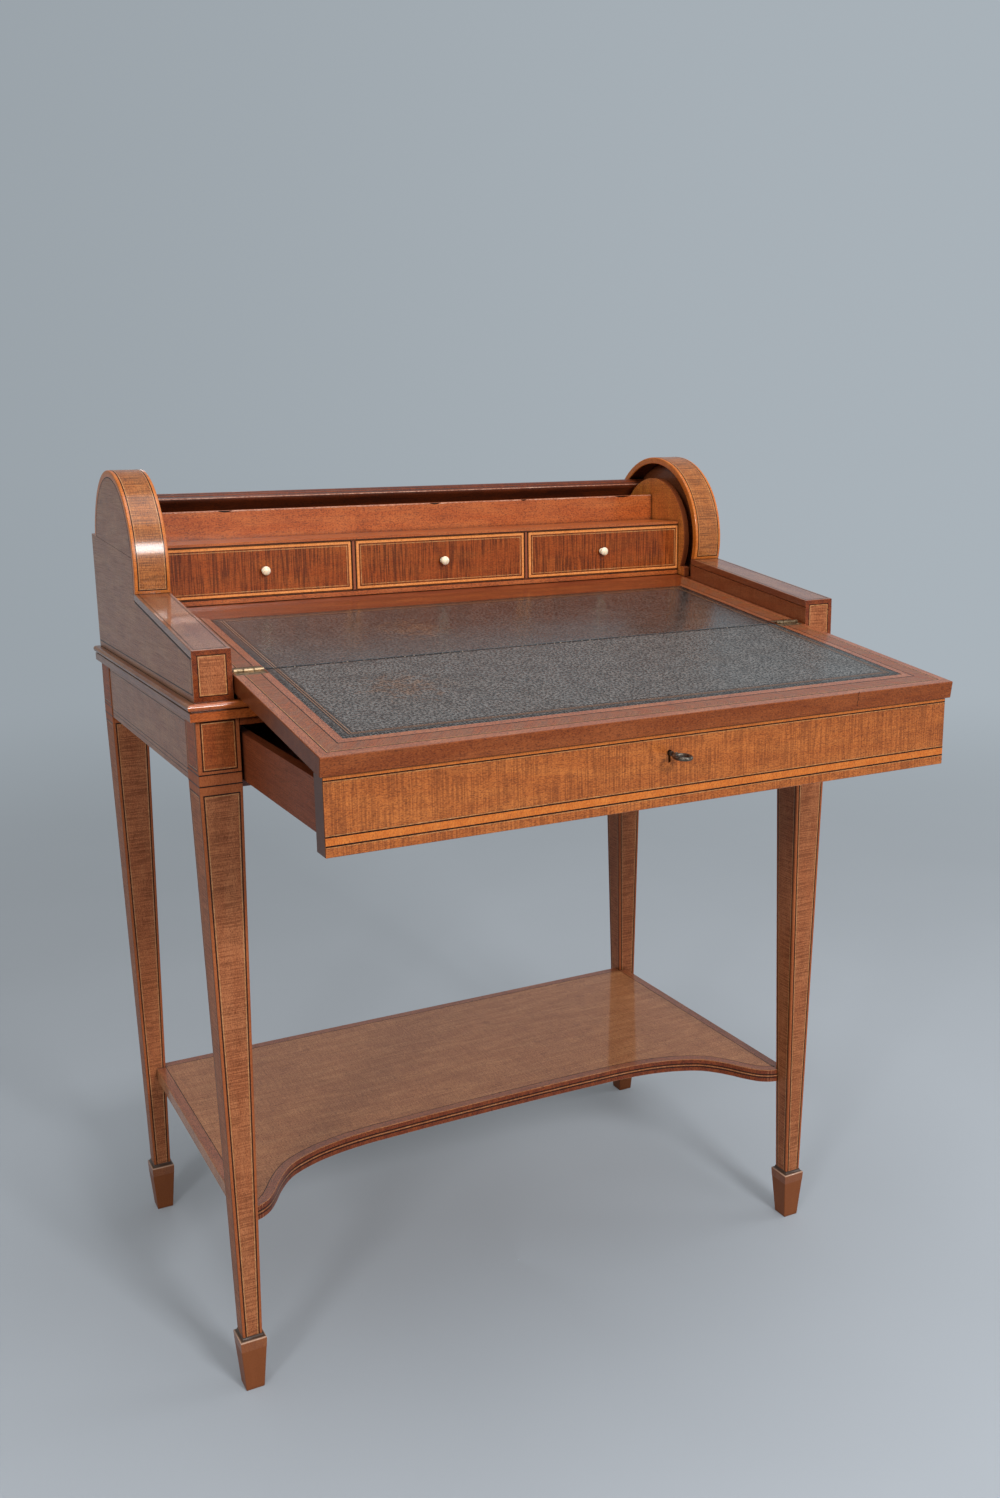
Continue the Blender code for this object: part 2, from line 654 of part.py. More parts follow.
def build_nest():
    top, back = NEST_CEILING + NEST_TOP_T, NEST_FRONT + NEST_DEPTH
    dip = (NEST_SEAT + GAP - AXIS_Z) / NEST_ARCH
    foot_up = NEST_SEAT + GAP + NEST_FOOT_HEIGHT
    lift = (foot_up - AXIS_Z) / NEST_ARCH
    end = arc(NEST_ARCH, math.asin(lift), math.pi - math.asin(dip), 44)
    toe = NEST_FRONT - NEST_FOOT
    sole = bed_top(toe) + 2 * GAP
    end += [(BED_END, NEST_SEAT + GAP), (NEST_FRONT, NEST_SEAT + GAP), (toe, sole)]
    end += [(toe, foot_up - NEST_FOOT_CHAMFER), (toe + NEST_FOOT_CHAMFER, foot_up)]
    for side, s in SIDES:
        add(f"nest_end_{side}", prism(end, (s * NEST_INNER, s * NEST_OUTER)), satinwood())
        divide = s * (BAY + DIVIDER_T) / 2
        add(f"nest_divider_{side}", box((divide - DIVIDER_T / 2, divide + DIVIDER_T / 2),
                                        (NEST_FRONT + GAP, back - GAP),
                                        (NEST_FLOOR + GAP, NEST_CEILING - GAP)), mahogany())
    width = (-NEST_INNER + GAP, NEST_INNER - GAP)
    add("nest_floor", box(width, (NEST_FRONT, back - GAP), (NEST_SEAT + GAP, NEST_FLOOR)), mahogany())
    add("nest_shelf", box(width, (NEST_FRONT - NEST_TOP_OVERHANG, back - GAP), (NEST_CEILING, top)),
        mahogany())
    add("nest_back", box(width, (back, back + NEST_BACK_T), (NEST_SEAT + GAP, top + GALLERY_HEIGHT)),
        mahogany(), EASE)


def build_small_drawers():
    """Three drawers: a veneered front, a tray that stands in for its thin boards, and a turned knob."""
    groups = {}
    low, high = NEST_FLOOR + SMALL_PLAY, NEST_CEILING - SMALL_PLAY
    face = NEST_FRONT
    behind = face + SMALL_FRONT_T
    turn = Matrix.Rotation(math.pi / 2, 4, "X")
    for number, name in enumerate(("left", "middle", "right")):
        mid = (number - 1) * (BAY + DIVIDER_T)
        half = BAY / 2 - SMALL_PLAY
        front = add(f"small_front_{name}", box((mid - half, mid + half), (face, behind), (low, high)),
                    satinwood(), EASE)
        centre, across = (low + high) / 2, mid - (number - 1) * KNOB_INWARD
        hole = (across, face - PAST, centre), (across, face + KNOB_SPIGOT + GAP, centre)
        cut(front, rod(KNOB_STEM + BORE_PLAY, *hole), "spigot")
        inside = half - SMALL_WALL
        end = face + NEST_DEPTH - SMALL_BACK_PLAY
        tray = add(f"small_tray_{name}", box((mid - half + SMALL_TRAY_PLAY, mid + half - SMALL_TRAY_PLAY),
                                             (behind + GAP, end), (low + SMALL_TRAY_PLAY, high - SMALL_DROP)),
                   lining())
        cut(tray, box((mid - inside, mid + inside), (behind + SMALL_WALL, end - SMALL_WALL),
                      (low + SMALL_TRAY_PLAY + SMALL_BOTTOM, high)), "well")
        tall = KNOB_RADIUS * KNOB_SQUASH
        profile = [(0, -KNOB_SPIGOT), (KNOB_STEM, -KNOB_SPIGOT), (KNOB_STEM, GAP)]
        for t in np.linspace(-1.0, math.pi / 2, 9):
            profile.append((max(KNOB_RADIUS * math.cos(t), 0.0), KNOB_OUT + tall * (math.sin(t) - 1)))
        knob = lathe(f"small_knob_{name}", profile, 20, ivory(), turn, (across, face - GAP / 3, centre))
        groups[name] = (front, tray, knob), (mid, face, centre)
    return groups


def build_frieze_drawer():
    half = LEG_INNER - DRAWER_PLAY
    behind = DRAWER_FACE + DRAWER_FRONT_T
    front = add("drawer_front", box((-half, half), (DRAWER_FACE, behind), (DRAWER_LIP, DRAWER_TOP)),
                satinwood(), EASE)
    outer = LEG_INNER - DRAWER_SIDE_PLAY
    side_top = DRAWER_TOP - DRAWER_TOP_STEP
    end = DRAWER_FACE + BACK_RAIL_FACE - DRAWER_BACK_PLAY
    pieces = [front]
    for side, s in SIDES:
        pieces.append(add(f"drawer_side_{side}", box((s * outer, s * (outer - DRAWER_SIDE_T)),
                                                     (behind + GAP, end), (DRAWER_SEAT, side_top)), lining()))
    inner = outer - DRAWER_SIDE_T - GAP
    floor = DRAWER_SEAT + DRAWER_BOTTOM_LIFT
    over = floor + DRAWER_BOTTOM_T
    pieces.append(add("drawer_bottom", box((-inner, inner), (behind + GAP, end), (floor, over)), lining()))
    pieces.append(add("drawer_back", box((-inner, inner), (end - DRAWER_BACK_T, end),
                                         (over + GAP, side_top - DRAWER_BACK_STEP)), lining()))
    lock_z = DRAWER_TOP - GAP - LOCK_HEIGHT
    lock_y = behind - GAP - LOCK_T
    lock = box((-LOCK_HALF_WIDTH, LOCK_HALF_WIDTH), (lock_y, behind - GAP), (lock_z, DRAWER_TOP - GAP))
    mortise = box((-LOCK_HALF_WIDTH - GAP, LOCK_HALF_WIDTH + GAP), (lock_y - GAP, behind + PAST),
                  (lock_z - GAP, DRAWER_TOP + PAST))
    cut(front, mortise, "lock mortise")
    case = add("lock_case", lock, brass())
    key_z = DRAWER_TOP - KEY_DROP
    well = LOCK_T - LOCK_PLATE
    cut(case, rod(KEYHOLE_SLOT + KEY_WELL_CLEAR, (0, lock_y - PAST, key_z), (0, lock_y + well, key_z), 32),
        "key well")
    cut(front, rod(KEYHOLE_RADIUS, (0, DRAWER_FACE - PAST, key_z), (0, lock_y + PAST, key_z)), "keyhole")
    half_slot = KEYHOLE_SLOT_WIDTH / 2
    through = (DRAWER_FACE - PAST, lock_y + PAST)
    cut(front, box((-half_slot, half_slot), through, (key_z - KEYHOLE_SLOT, key_z)), "key slot")
    pieces.append(case)
    return pieces, lock_y + well, key_z


def build_key(bottom, key_z):
    """A barrel key, its flat bow level as photographed: shank, bit and an oval ring of wire."""
    tip = bottom - KEY_BIT_CLEAR
    shank_end = DRAWER_FACE - KEY_SHANK
    key = add("key", rod(KEY_RADIUS, (0, tip, key_z), (0, shank_end - KEY_WIRE, key_z), 20), iron())
    half_bit = KEY_BIT_T / 2
    unite(key, box((KEY_RADIUS / 4, KEYHOLE_SLOT - KEY_BIT_CLEAR), (tip - KEY_BIT_LENGTH, tip - GAP),
                   (key_z - half_bit, key_z + half_bit)), "bit")
    collar = (shank_end - GAP, shank_end + KEY_RADIUS)
    unite(key, rod(KEY_RADIUS + KEY_WIRE / 2, (0, collar[0], key_z), (0, collar[1], key_z), 20), "collar")
    bow = bmesh.new()
    turns = np.linspace(0, 2 * math.pi, 29)[:-1]
    across, along = KEY_BOW_WIDTH / 2 - KEY_WIRE, KEY_BOW_LENGTH / 2 - KEY_WIRE
    centre = Vector((0, shank_end - KEY_BOW_LENGTH / 2, key_z))
    rings = []
    for t in turns:
        out = Vector((math.cos(t), math.sin(t), 0))
        spot = centre + Vector((across * out.x, along * out.y, 0))
        rings.append([bow.verts.new(spot + KEY_WIRE * (math.cos(w) * out + math.sin(w) * Vector((0, 0, 1))))
                      for w in np.linspace(0, 2 * math.pi, 9)[:-1]])
    for one, two in zip(rings, rings[1:] + rings[:1]):
        edges = [ring_edge(bow, a, b) for ring in (one, two) for a, b in zip(ring, ring[1:] + ring[:1])]
        bmesh.ops.bridge_loops(bow, edges=edges)
    unite(key, bow, "bow")
    return key


def ring_edge(bm, a, b):
    return bm.edges.get((a, b)) or bm.edges.new((a, b))


def hang(name, at, objects, carrier=None):
    """An empty on a joint's axis, with the pieces that move about it as children."""
    empty = bpy.data.objects.new(name, None)
    empty.empty_display_size = AXIS_MARK
    empty.location = (at[0], at[1] - Y_MID, at[2])
    collection(COLLECTION).objects.link(empty)
    bpy.context.view_layer.update()
    pairs = [(obj, empty) for obj in objects]
    if carrier:
        pairs.append((empty, carrier))
    for child, parent in pairs:
        child.parent = parent
        child.matrix_parent_inverse = parent.matrix_world.inverted()
    return empty


def main():
    clear_scene()
    build_legs()
    build_frieze()
    build_waist_moulding()
    build_undershelf()
    build_ends()
    build_back_board()
    bed = build_bed()
    flap, skin = build_flap()
    leaves = build_flap_hinges(bed, flap)
    cylinder = build_cylinder()
    build_nest()
    small = build_small_drawers()
    drawer, well, key_z = build_frieze_drawer()
    key = build_key(well, key_z)
    hang("flap_axis", (0, *on_slope(0, AXIS_LIFT)), [flap, skin, *leaves])
    hang("cylinder_axis", (0, AXIS_Y, AXIS_Z), cylinder)
    slide = hang("drawer_slide", (0, DRAWER_FACE, DRAWER_SEAT), drawer)
    hang("key_axis", (0, DRAWER_FACE, key_z), [key], slide)
    for name, (pieces, at) in small.items():
        hang(f"small_slide_{name}", at, pieces)


main()
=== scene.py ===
"""Finish of a cylinder bureau: veneers, banding and stringing, tooled leather, brass and bone.

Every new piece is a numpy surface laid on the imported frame, in metres, and rides on one of its bodies.
"""

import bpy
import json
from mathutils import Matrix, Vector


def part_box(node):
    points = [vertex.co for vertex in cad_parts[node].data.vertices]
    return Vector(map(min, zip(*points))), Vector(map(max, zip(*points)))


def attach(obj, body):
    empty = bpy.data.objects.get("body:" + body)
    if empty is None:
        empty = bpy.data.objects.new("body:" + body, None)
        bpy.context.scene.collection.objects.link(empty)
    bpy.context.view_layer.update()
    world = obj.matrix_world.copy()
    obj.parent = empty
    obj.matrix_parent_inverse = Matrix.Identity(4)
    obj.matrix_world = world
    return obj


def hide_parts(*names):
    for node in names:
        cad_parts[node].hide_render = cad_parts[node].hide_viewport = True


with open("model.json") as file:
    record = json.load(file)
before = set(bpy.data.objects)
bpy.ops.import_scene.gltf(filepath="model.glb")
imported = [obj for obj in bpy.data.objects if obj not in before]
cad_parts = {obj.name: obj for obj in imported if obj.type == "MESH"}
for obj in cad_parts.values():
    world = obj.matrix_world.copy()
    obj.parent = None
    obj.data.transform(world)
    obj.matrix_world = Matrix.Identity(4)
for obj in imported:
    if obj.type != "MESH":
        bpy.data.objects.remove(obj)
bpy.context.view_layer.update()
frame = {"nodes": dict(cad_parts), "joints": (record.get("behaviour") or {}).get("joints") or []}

import fnmatch
import json
import math
from collections import defaultdict

import bmesh
import bpy
import numpy as np
from bpy.props import FloatProperty, FloatVectorProperty, PointerProperty
from mathutils import Matrix, Vector

bl_info = {
    "name": "Cylinder bureau finish",
    "version": (1, 0, 0),
    "blender": (4, 5, 0),
    "location": "3D View > Sidebar > Bureau",
    "description": "Dresses the frame of a cylinder bureau in veneer, inlay, leather and brass",
    "category": "Object",
}

MM = 0.001
TAU = 2 * math.pi
RIGHT = np.array((1.0, 0.0, 0.0))
UP = np.array((0.0, 0.0, 1.0))
SIDES = (("left", -1), ("right", 1))
BAYS = ("left", "middle", "right")
# Each leg, and the two ways that its outer faces look
LEGS = tuple((f"leg_{depth}_{side}", ((0, way, 0), (sign, 0, 0)))
             for depth, way in (("front", -1), ("back", 1)) for side, sign in SIDES)
LEG_FACES = ((0, -1, 0), (0, 1, 0), (-1, 0, 0), (1, 0, 0))

# Points of one piece that lie closer than this are merged
MERGE = 0.002 * MM
# How far an inlay is let into the wood, and how far a panel and a line stand out of it
LET_IN = 0.20 * MM
PANEL_RISE = 0.04 * MM
LINE_RISE = 0.08 * MM
# The longest step of a tape that follows a curve
ARC_STEP = 4 * MM
# How far the plane of a leather lies above the face of its solid
LEATHER_LIFT = 0.1 * MM
# Heights on the legs: the top of the foot's collar, the foot of the block and that of the moulding over it
COLLAR_TOP = 58 * MM
BLOCK_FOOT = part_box("side_rail_left")[0].z
MOULDING_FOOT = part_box("waist_moulding_front")[0].z
# Half the width of a leg where its collar closes round it
ANKLE_HALF = 9.75 * MM
# Half the width of the undershelf between the notches for the legs
SHELF_NOTCH = 320.6 * MM


def linear(code):
    """An sRGB hex value such as "c67343" as linear red, green, blue and an alpha of one."""
    srgb = np.array([int(code[i:i + 2], 16) for i in (0, 2, 4)]) / 255
    rgb = np.where(srgb <= 0.04045, srgb / 12.92, ((srgb + 0.055) / 1.055) ** 2.4)
    return (*rgb.tolist(), 1.0)


def length(name, mm, description):
    return FloatProperty(name=name, description=description, default=mm * MM, unit="LENGTH", precision=5)


def colour(name, code, description):
    return FloatVectorProperty(name=name, description=description, default=linear(code), size=4,
                               subtype="COLOR", min=0, max=1)


def banding(name, border, dark, gap, pale):
    sizes = tuple(mm * MM for mm in (border, dark, gap, pale))
    order = "Border, dark line, gap and pale line, from the edge in"
    return FloatVectorProperty(name=name, description=order, default=sizes, size=4, unit="LENGTH",
                               precision=5)


class BureauSizes(bpy.types.PropertyGroup):
    """Widths of the inlay and of the small turned and wrought pieces."""

    leg_block: banding("Leg block", 3.6, 1.0, 0.5, 0.6)
    leg_taper: banding("Tapered leg", 2.6, 1.1, 0.5, 0.6)
    arm_front: banding("Arm front", 4.6, 0.8, 0.4, 0.6)
    hood: banding("Hood rim", 3.2, 0.9, 0.5, 0.5)
    small_drawer: banding("Small drawers", 3.0, 0.5, 1.1, 0.6)
    leg_belt: length("Leg belt", 10.4, "Height of the satinwood belt under the leg block")
    line: length("Line", 1.1, "Width of a single dark line")
    rail_line: length("Rail line", 0.6, "Width of the fine lines on the side rails")
    shelf_band: length("Shelf band", 10.0, "Width of the band round the undershelf")
    shelf_line: length("Shelf line", 0.7, "Width of the dark line inside the shelf's band")
    bead: length("Moulding bead", 6.6, "Height of the bead on top of the waist moulding")
    screw: length("Screw head", 3.4, "Diameter of the hinges' screw heads")
    bow: length("Key bow", 20.5, "Length of the key's bow")


class BureauColours(bpy.types.PropertyGroup):
    """Colours of the woods, leather, metals and stage."""

    mahogany_deep: colour("Mahogany, dark streak", "4f2009", "Dark streaks of the fiddleback mahogany")
    mahogany: colour("Mahogany", "a65a26", "Ground of the fiddleback mahogany")
    mahogany_pale: colour("Mahogany, pale streak", "bf7236", "Pale streaks of the fiddleback mahogany")
    red_deep: colour("Red mahogany, dark streak", "331206", "Dark streaks of the plain mahogany")
    red: colour("Red mahogany", "712f12", "Ground of the plain mahogany")
    red_pale: colour("Red mahogany, pale streak", "94491f", "Pale streaks of the plain mahogany")
    side: colour("Sides", "985b36", "Ground of the sides")
    side_pale: colour("Sides, pale streak", "b07c54", "Pale streaks of the sides")
    cap: colour("Arm caps", "946040", "Ground of the arm caps and the side mouldings")
    nest_end: colour("Nest ends", "c06c30", "Ground of the nest's ends and dividers")
    nest_edge: colour("Nest edges", "7a3a22", "Front edges of the nest's ends and dividers")
    gallery: colour("Gallery", "a6501f", "Ground of the gallery and the front moulding")
    gallery_pale: colour("Gallery, pale streak", "bd6b36", "Pale streaks of the gallery")
    leg: colour("Legs", "a4613c", "Ground of the legs' long panels")
    leg_pale: colour("Legs, pale streak", "bb7a50", "Pale streaks of the legs' long panels")
    leg_edge: colour("Leg borders", "98522d", "Ground of the legs' solid wood")
    leg_edge_pale: colour("Leg borders, pale streak", "ae663a", "Pale streaks of the legs' solid wood")
    block: colour("Leg blocks", "9a4a1e", "Ground of the panels on the leg blocks")
    block_pale: colour("Leg blocks, pale streak", "b06230", "Pale streaks of the panels on the leg blocks")
    foot: colour("Foot collars", "7d4a2c", "Ground of the collars of the feet")
    foot_pale: colour("Foot collars, pale streak", "93592f", "Pale streaks of the collars of the feet")
    foot_stain: colour("Feet", "6f4022", "Stain of the legs below the collar")
    # Painted highlight along the arris of the collars
    foot_arris: colour("Rubbed arris", "c9a58c", "Edge of the collars, rubbed pale")
    # Darker colour over the tops of the collars
    foot_hollow: colour("Hollow", "1a0b05", "Dirt in the hollow of the collars")
    flap_deep: colour("Flap, dark streak", "431806", "Dark streaks of the flap")
    flap: colour("Flap", "7e3b12", "Ground of the flap")
    flap_pale: colour("Flap, pale streak", "985226", "Pale streaks of the flap")
    border: colour("Flap border", "985434", "Ground of the plain bands round the leather")
    border_pale: colour("Flap border, pale streak", "ae6c44", "Pale streaks of the plain bands")
    shelf: colour("Undershelf", "b0734a", "Ground of the undershelf")
    shelf_pale: colour("Undershelf, pale streak", "c4885a", "Pale streaks of the undershelf")
    hood: colour("Hood rims", "a5602c", "Ground of the panels on the hood rims")
    hood_pale: colour("Hood rims, pale streak", "bd7a42", "Pale streaks of the panels on the hood rims")
    panel_deep: colour("Dark panel, streak", "300f03", "Dark streaks of the small drawers' panels")
    panel: colour("Dark panel", "954418", "Ground of the small drawers' panels")
    satinwood: colour("Satinwood", "bf661f", "Ground of the satinwood banding")
    satinwood_pale: colour("Satinwood, pale streak", "d8873c", "Pale streaks of the satinwood banding")
    satinwood_deep: colour("Satinwood, dark streak", "77350f", "Dark streaks of the satinwood banding")
    front: colour("Small fronts", "e08a48", "Ground of the small drawers' satinwood")
    front_pale: colour("Small fronts, pale streak", "eaa266", "Pale streaks of the small drawers' satinwood")
    tulipwood: colour("Tulipwood", "825439", "Ground of the crossband on the writing surface")
    tulipwood_deep: colour("Tulipwood, stripe", "54291a", "Dark stripes of the writing surface's crossband")
    ebony: colour("Dyed line", "120805", "Dark stringing")
    ebony_pale: colour("Dyed line, pale streak", "3c2416", "Dark stringing where its dye has worn")
    boxwood: colour("Boxwood line", "b87f45", "Pale stringing")
    boxwood_deep: colour("Boxwood line, dark streak", "7a4c2a", "Dirt in the pale stringing")
    boxwood_pale: colour("Boxwood line, pale streak", "d9a873", "Cleanest parts of the pale stringing")
    # Also the colour of the painted highlight along the cylinder's nose and the gallery's top edge
    worn: colour("Worn edge", "b98268", "Ground of a mahogany edge rubbed through its polish")
    worn_pale: colour("Worn edge, pale streak", "d9b39c", "Palest parts of a rubbed edge")
    # Painted shade for the cylinder, its cranks and the hollow of the hood rims
    grime: colour("Grime", "4a1f0f", "Ground of the mahogany where no hand reaches")
    grime_deep: colour("Grime, dark streak", "1f0c05", "Dark streaks of the grimed mahogany")
    # Painted shade that the veneers lay in their corners and joints
    dirt: colour("Dirt", "120703", "Dirt and wax in every corner of the wood")
    lining: colour("Drawer lining", "864220", "Mahogany of the drawer sides and trays")
    leather: colour("Leather", "6a6866", "Ground of the flap's leather")
    leather_bed: colour("Leather of the bed", "544e4b", "Ground of the leather behind the hinge")
    leather_worn: colour("Worn leather", "775b47", "Leather rubbed through to the tan")
    leather_black: colour("Leather dye", "060504", "Dye in the hollows and tooled lines of the leather")
    # Rubbed brown and painted highlight on the ridges between tooled lines
    leather_line: colour("Tooled line", "80604a", "Ridges between the tooled lines, rubbed brown")
    leather_dust: colour("Frayed leather", "b9a48c", "Threads that show at the fold")
    brass: colour("Brass", "a0886c", "Hinges and their screws")
    brass_dull: colour("Brass tarnish", "56452f", "Tarnish of the hinges")
    steel: colour("Steel", "6a625a", "Key and lock")
    steel_dull: colour("Steel tarnish", "241f1b", "Rust and grime of the key")
    bone: colour("Bone", "efe0c4", "Turned knobs")
    bone_streak: colour("Bone, streak", "c39a66", "Growth streaks of the knobs")
    floor: colour("Floor", "aab1b9", "Studio floor")
    backdrop: colour("Backdrop", "a3acb3", "Studio backdrop")
    mirrored: colour("Mirrored room", "a4998a", "Warm grey that the polish mirrors from the left")
    light: colour("Room light", "f4f4f2", "Soft light from all round")


def hue(name):
    """One of the scene's colours for the bureau, as red, green, blue and alpha."""
    return tuple(getattr(bpy.context.scene.bureau_colours, name))


def span(name):
    """The lowest and highest corner of a solid of the frame, as two arrays."""
    return np.array([list(corner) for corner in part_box(name)])


def vertices(name):
    """The corner points of a solid of the frame, as an array of rows."""
    mesh = frame["nodes"][name].data
    flat = np.empty(3 * len(mesh.vertices))
    mesh.vertices.foreach_get("co", flat)
    return flat.reshape(-1, 3)


def facing(name, direction):
    """Middle and normal of the largest flat face of a solid that looks along a direction."""
    mesh = frame["nodes"][name].data
    count = len(mesh.polygons)
    normals, centres, areas = np.empty(3 * count), np.empty(3 * count), np.empty(count)
    mesh.polygons.foreach_get("normal", normals)
    mesh.polygons.foreach_get("center", centres)
    mesh.polygons.foreach_get("area", areas)
    normals, centres = normals.reshape(-1, 3), centres.reshape(-1, 3)
    towards = normals @ np.asarray(direction, float) > 0.9
    normals, centres, areas = normals[towards], centres[towards], areas[towards]
    group = np.unique(np.round((normals * centres).sum(1), 4), return_inverse=True)[1]
    best = group == np.bincount(group, areas).argmax()
    weight = areas[best][:, None]
    normal = (normals[best] * weight).sum(0)
    return (centres[best] * weight).sum(0) / weight.sum(), normal / np.linalg.norm(normal)


def joint(name):
    """Where the axis of a joint of the frame lies."""
    return np.array(next(found["pos_m"] for found in frame["joints"] if found["name"] == name))


def on_plane(corner, along, across):
    """A flat face as a map: (u, v) at height h goes to corner + u along + v across + h out of the face."""
    corner, along, across = (np.asarray(x, float) for x in (corner, along, across))
    out = np.cross(along, across)

    def at(uv, h):
        return corner + uv[..., :1] * along + uv[..., 1:] * across + h * out

    return at


def front_face(name):
    """The front of an upright solid as a map of (x, z)."""
    return on_plane((0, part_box(name)[0].y, 0), RIGHT, UP)


def side_face(name, sign):
    """The outer side of a solid as a map of (y, z), with y turned round on the left, where sign is -1."""
    return on_plane((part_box(name)[1 if sign > 0 else 0].x, 0, 0), (0, sign, 0), UP)


def carried(points, closed=False, around=True, uv=None):
    """A profile carried along a path, given as an array (path, profile, 3), as one part of a mesh.

    Quads join each row to the next. The profile closes on itself when around is true and the path when
    closed is true, and an open path of a closed profile gets an end face at each end. Unless uv is given,
    u is the distance along the path and v the distance round the profile, in metres.
    """
    n, m = points.shape[:2]
    rows = np.arange(n if closed else n - 1)[:, None]
    cols = np.arange(m if around else m - 1)[None]
    corners = [(rows, cols), (rows, cols + 1), (rows + 1, cols + 1), (rows + 1, cols)]
    quads = np.stack([(r % n) * m + c % m for r, c in corners], -1).reshape(-1, 4)
    if uv is None:
        along = np.linalg.norm(np.roll(points, -1, 0) - points, axis=2).mean(1)
        across = np.linalg.norm(np.roll(points[0], -1, 0) - points[0], axis=1)
        u, v = (np.append(0, np.cumsum(step)) for step in (along, across))
        uv = np.stack(np.meshgrid(u, v, indexing="ij"), -1)
    else:
        uv = np.pad(uv, ((0, 1), (0, 1), (0, 0)), mode="wrap")
    loops = np.stack([uv[r, c] for r, c in corners], -2).reshape(-1, 2)
    ends = np.empty((0, m), int)
    if around and not closed:
        ends = np.arange(m) + np.array([[0], [(n - 1) * m]])
        loops = np.concatenate([loops, uv[0, :m], uv[n - 1, :m]])
    return points.reshape(-1, 3), (quads, ends), loops


def piece(name, parts, material, body, slot, replaces=(), smooth=35.0):
    """One object from parts made by carried(): merged, its faces turned outwards, riding on a body."""
    starts = np.cumsum([0] + [len(points) for points, _, _ in parts])
    faces = []
    for start, (_, groups, _) in zip(starts, parts):
        for group in groups:
            faces += (group + start).tolist()
    mesh = bpy.data.meshes.new(name)
    mesh.from_pydata(np.concatenate([points for points, _, _ in parts]), [], faces)
    layer = mesh.uv_layers.new(name="Veneer")
    layer.data.foreach_set("uv", np.concatenate([uv for _, _, uv in parts]).astype(np.float32).ravel())
    solid = bmesh.new()
    solid.from_mesh(mesh)
    bmesh.ops.remove_doubles(solid, verts=solid.verts, dist=MERGE)
    bmesh.ops.recalc_face_normals(solid, faces=solid.faces)
    solid.to_mesh(mesh)
    solid.free()
    mesh.shade_smooth()
    mesh.set_sharp_from_angle(angle=math.radians(smooth))
    mesh.materials.append(bpy.data.materials[material])
    made = bpy.data.objects.new(name, mesh)
    bpy.context.scene.collection.objects.link(made)
    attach(made, body)
    if replaces:
        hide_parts(*replaces)
    return made


def pairs(u, v):
    """Points (u, v) on a face, from two lists or from a list and one number."""
    return np.stack(np.broadcast_arrays(u, v), -1)


def rectangle(u, v):
    return np.array([(u[0], v[0]), (u[1], v[0]), (u[1], v[1]), (u[0], v[1])])


def inset(corners, by):
    """A convex polygon with each edge moved inwards by a distance.

    A corner moves along the sum of the inward normals of its two edges, divided by one plus their
    dot product.
    """
    ahead = np.roll(corners, -1, 0) - corners
    ahead = ahead / np.linalg.norm(ahead, axis=1, keepdims=True)
    inward = np.stack([-ahead[:, 1], ahead[:, 0]], 1)
    before = np.roll(inward, 1, 0)
    return corners + by * (inward + before) / (1 + (inward * before).sum(1, keepdims=True))


def spaced(corners, counts):
    """Points along a closed polygon: each edge cut into its own count of equal steps."""
    ends = np.roll(corners, -1, 0)
    edges = zip(corners, ends, counts)
    return np.concatenate([a + (b - a) * np.arange(count)[:, None] / count for a, b, count in edges])


def line(start, end, count=1):
    """Points on a straight line, cut into a count of equal steps."""
    return np.linspace(start, end, count + 1)


def strip(at, left, right, rise, closed=False):
    """A thin tape between two lines on a face: a flat profile from under the surface to just above it."""
    sides = [at(flat, np.full((len(flat), 1), h)) for flat, h in
             ((left, -LET_IN), (left, rise), (right, rise), (right, -LET_IN))]
    return carried(np.stack(sides, 1), closed)


def tape(parts, kind, at, start, end, far, near=(0, 0), rise=LINE_RISE):
    """Adds a straight tape, whose edges are the line from start to end moved by the vectors near and far."""
    middle = line(start, end)
    parts[kind].append(strip(at, middle + near, middle + far, rise))


def ring(at, corners, near, far, step=None):
    """A tape round a face, between two distances from its edges, with mitred corners."""
    edges = np.linalg.norm(np.roll(corners, -1, 0) - corners, axis=1)
    counts = np.maximum(1, np.ceil(edges / step)).astype(int) if step else np.ones(len(edges), int)
    outer, inner = (spaced(inset(corners, by), counts) for by in (near, far))
    return strip(at, outer, inner, LINE_RISE, closed=True)


def inlay(parts, at, corners, widths, step=None):
    """A panel with a dark and a pale line round it, inside a border, on a four-sided face."""
    border, dark, gap, pale = widths
    low_left, low_right, high_right, high_left = inset(corners, border)
    count = math.ceil(np.linalg.norm(high_left - low_left) / step) if step else 1
    panel = strip(at, line(low_left, high_left, count), line(low_right, high_right, count), PANEL_RISE)
    parts["panel"].append(panel)
    parts["ebony"].append(ring(at, corners, border, border + dark, step))
    pale_from = border + dark + gap
    parts["boxwood"].append(ring(at, corners, pale_from, pale_from + pale, step))


# Each kind of inlay: its material and its slot. A panel's material is named where it is laid
KINDS = {
    "ebony": ("dyed_stringing", "satinwood_banded"),
    "boxwood": ("boxwood_stringing", "satinwood_banded"),
    "satinwood": ("satinwood_crossband", "satinwood_banded"),
    "tulipwood": ("tulipwood_crossband", "satinwood_banded"),
    "mahogany": ("mahogany_crossband", "mahogany"),
    "plain": ("red_mahogany_tape", "mahogany"),
    "grimed": ("grimed_mahogany", "mahogany"),
    "worn": ("worn_arris", "mahogany"),
}


def lay(prefix, body, parts, panel=None):
    """Makes one piece of each kind of inlay that was gathered for a body."""
    for kind, found in parts.items():
        material, slot = KINDS.get(kind, (panel, "mahogany"))
        piece(f"{prefix}_{kind}", found, material, body, slot)


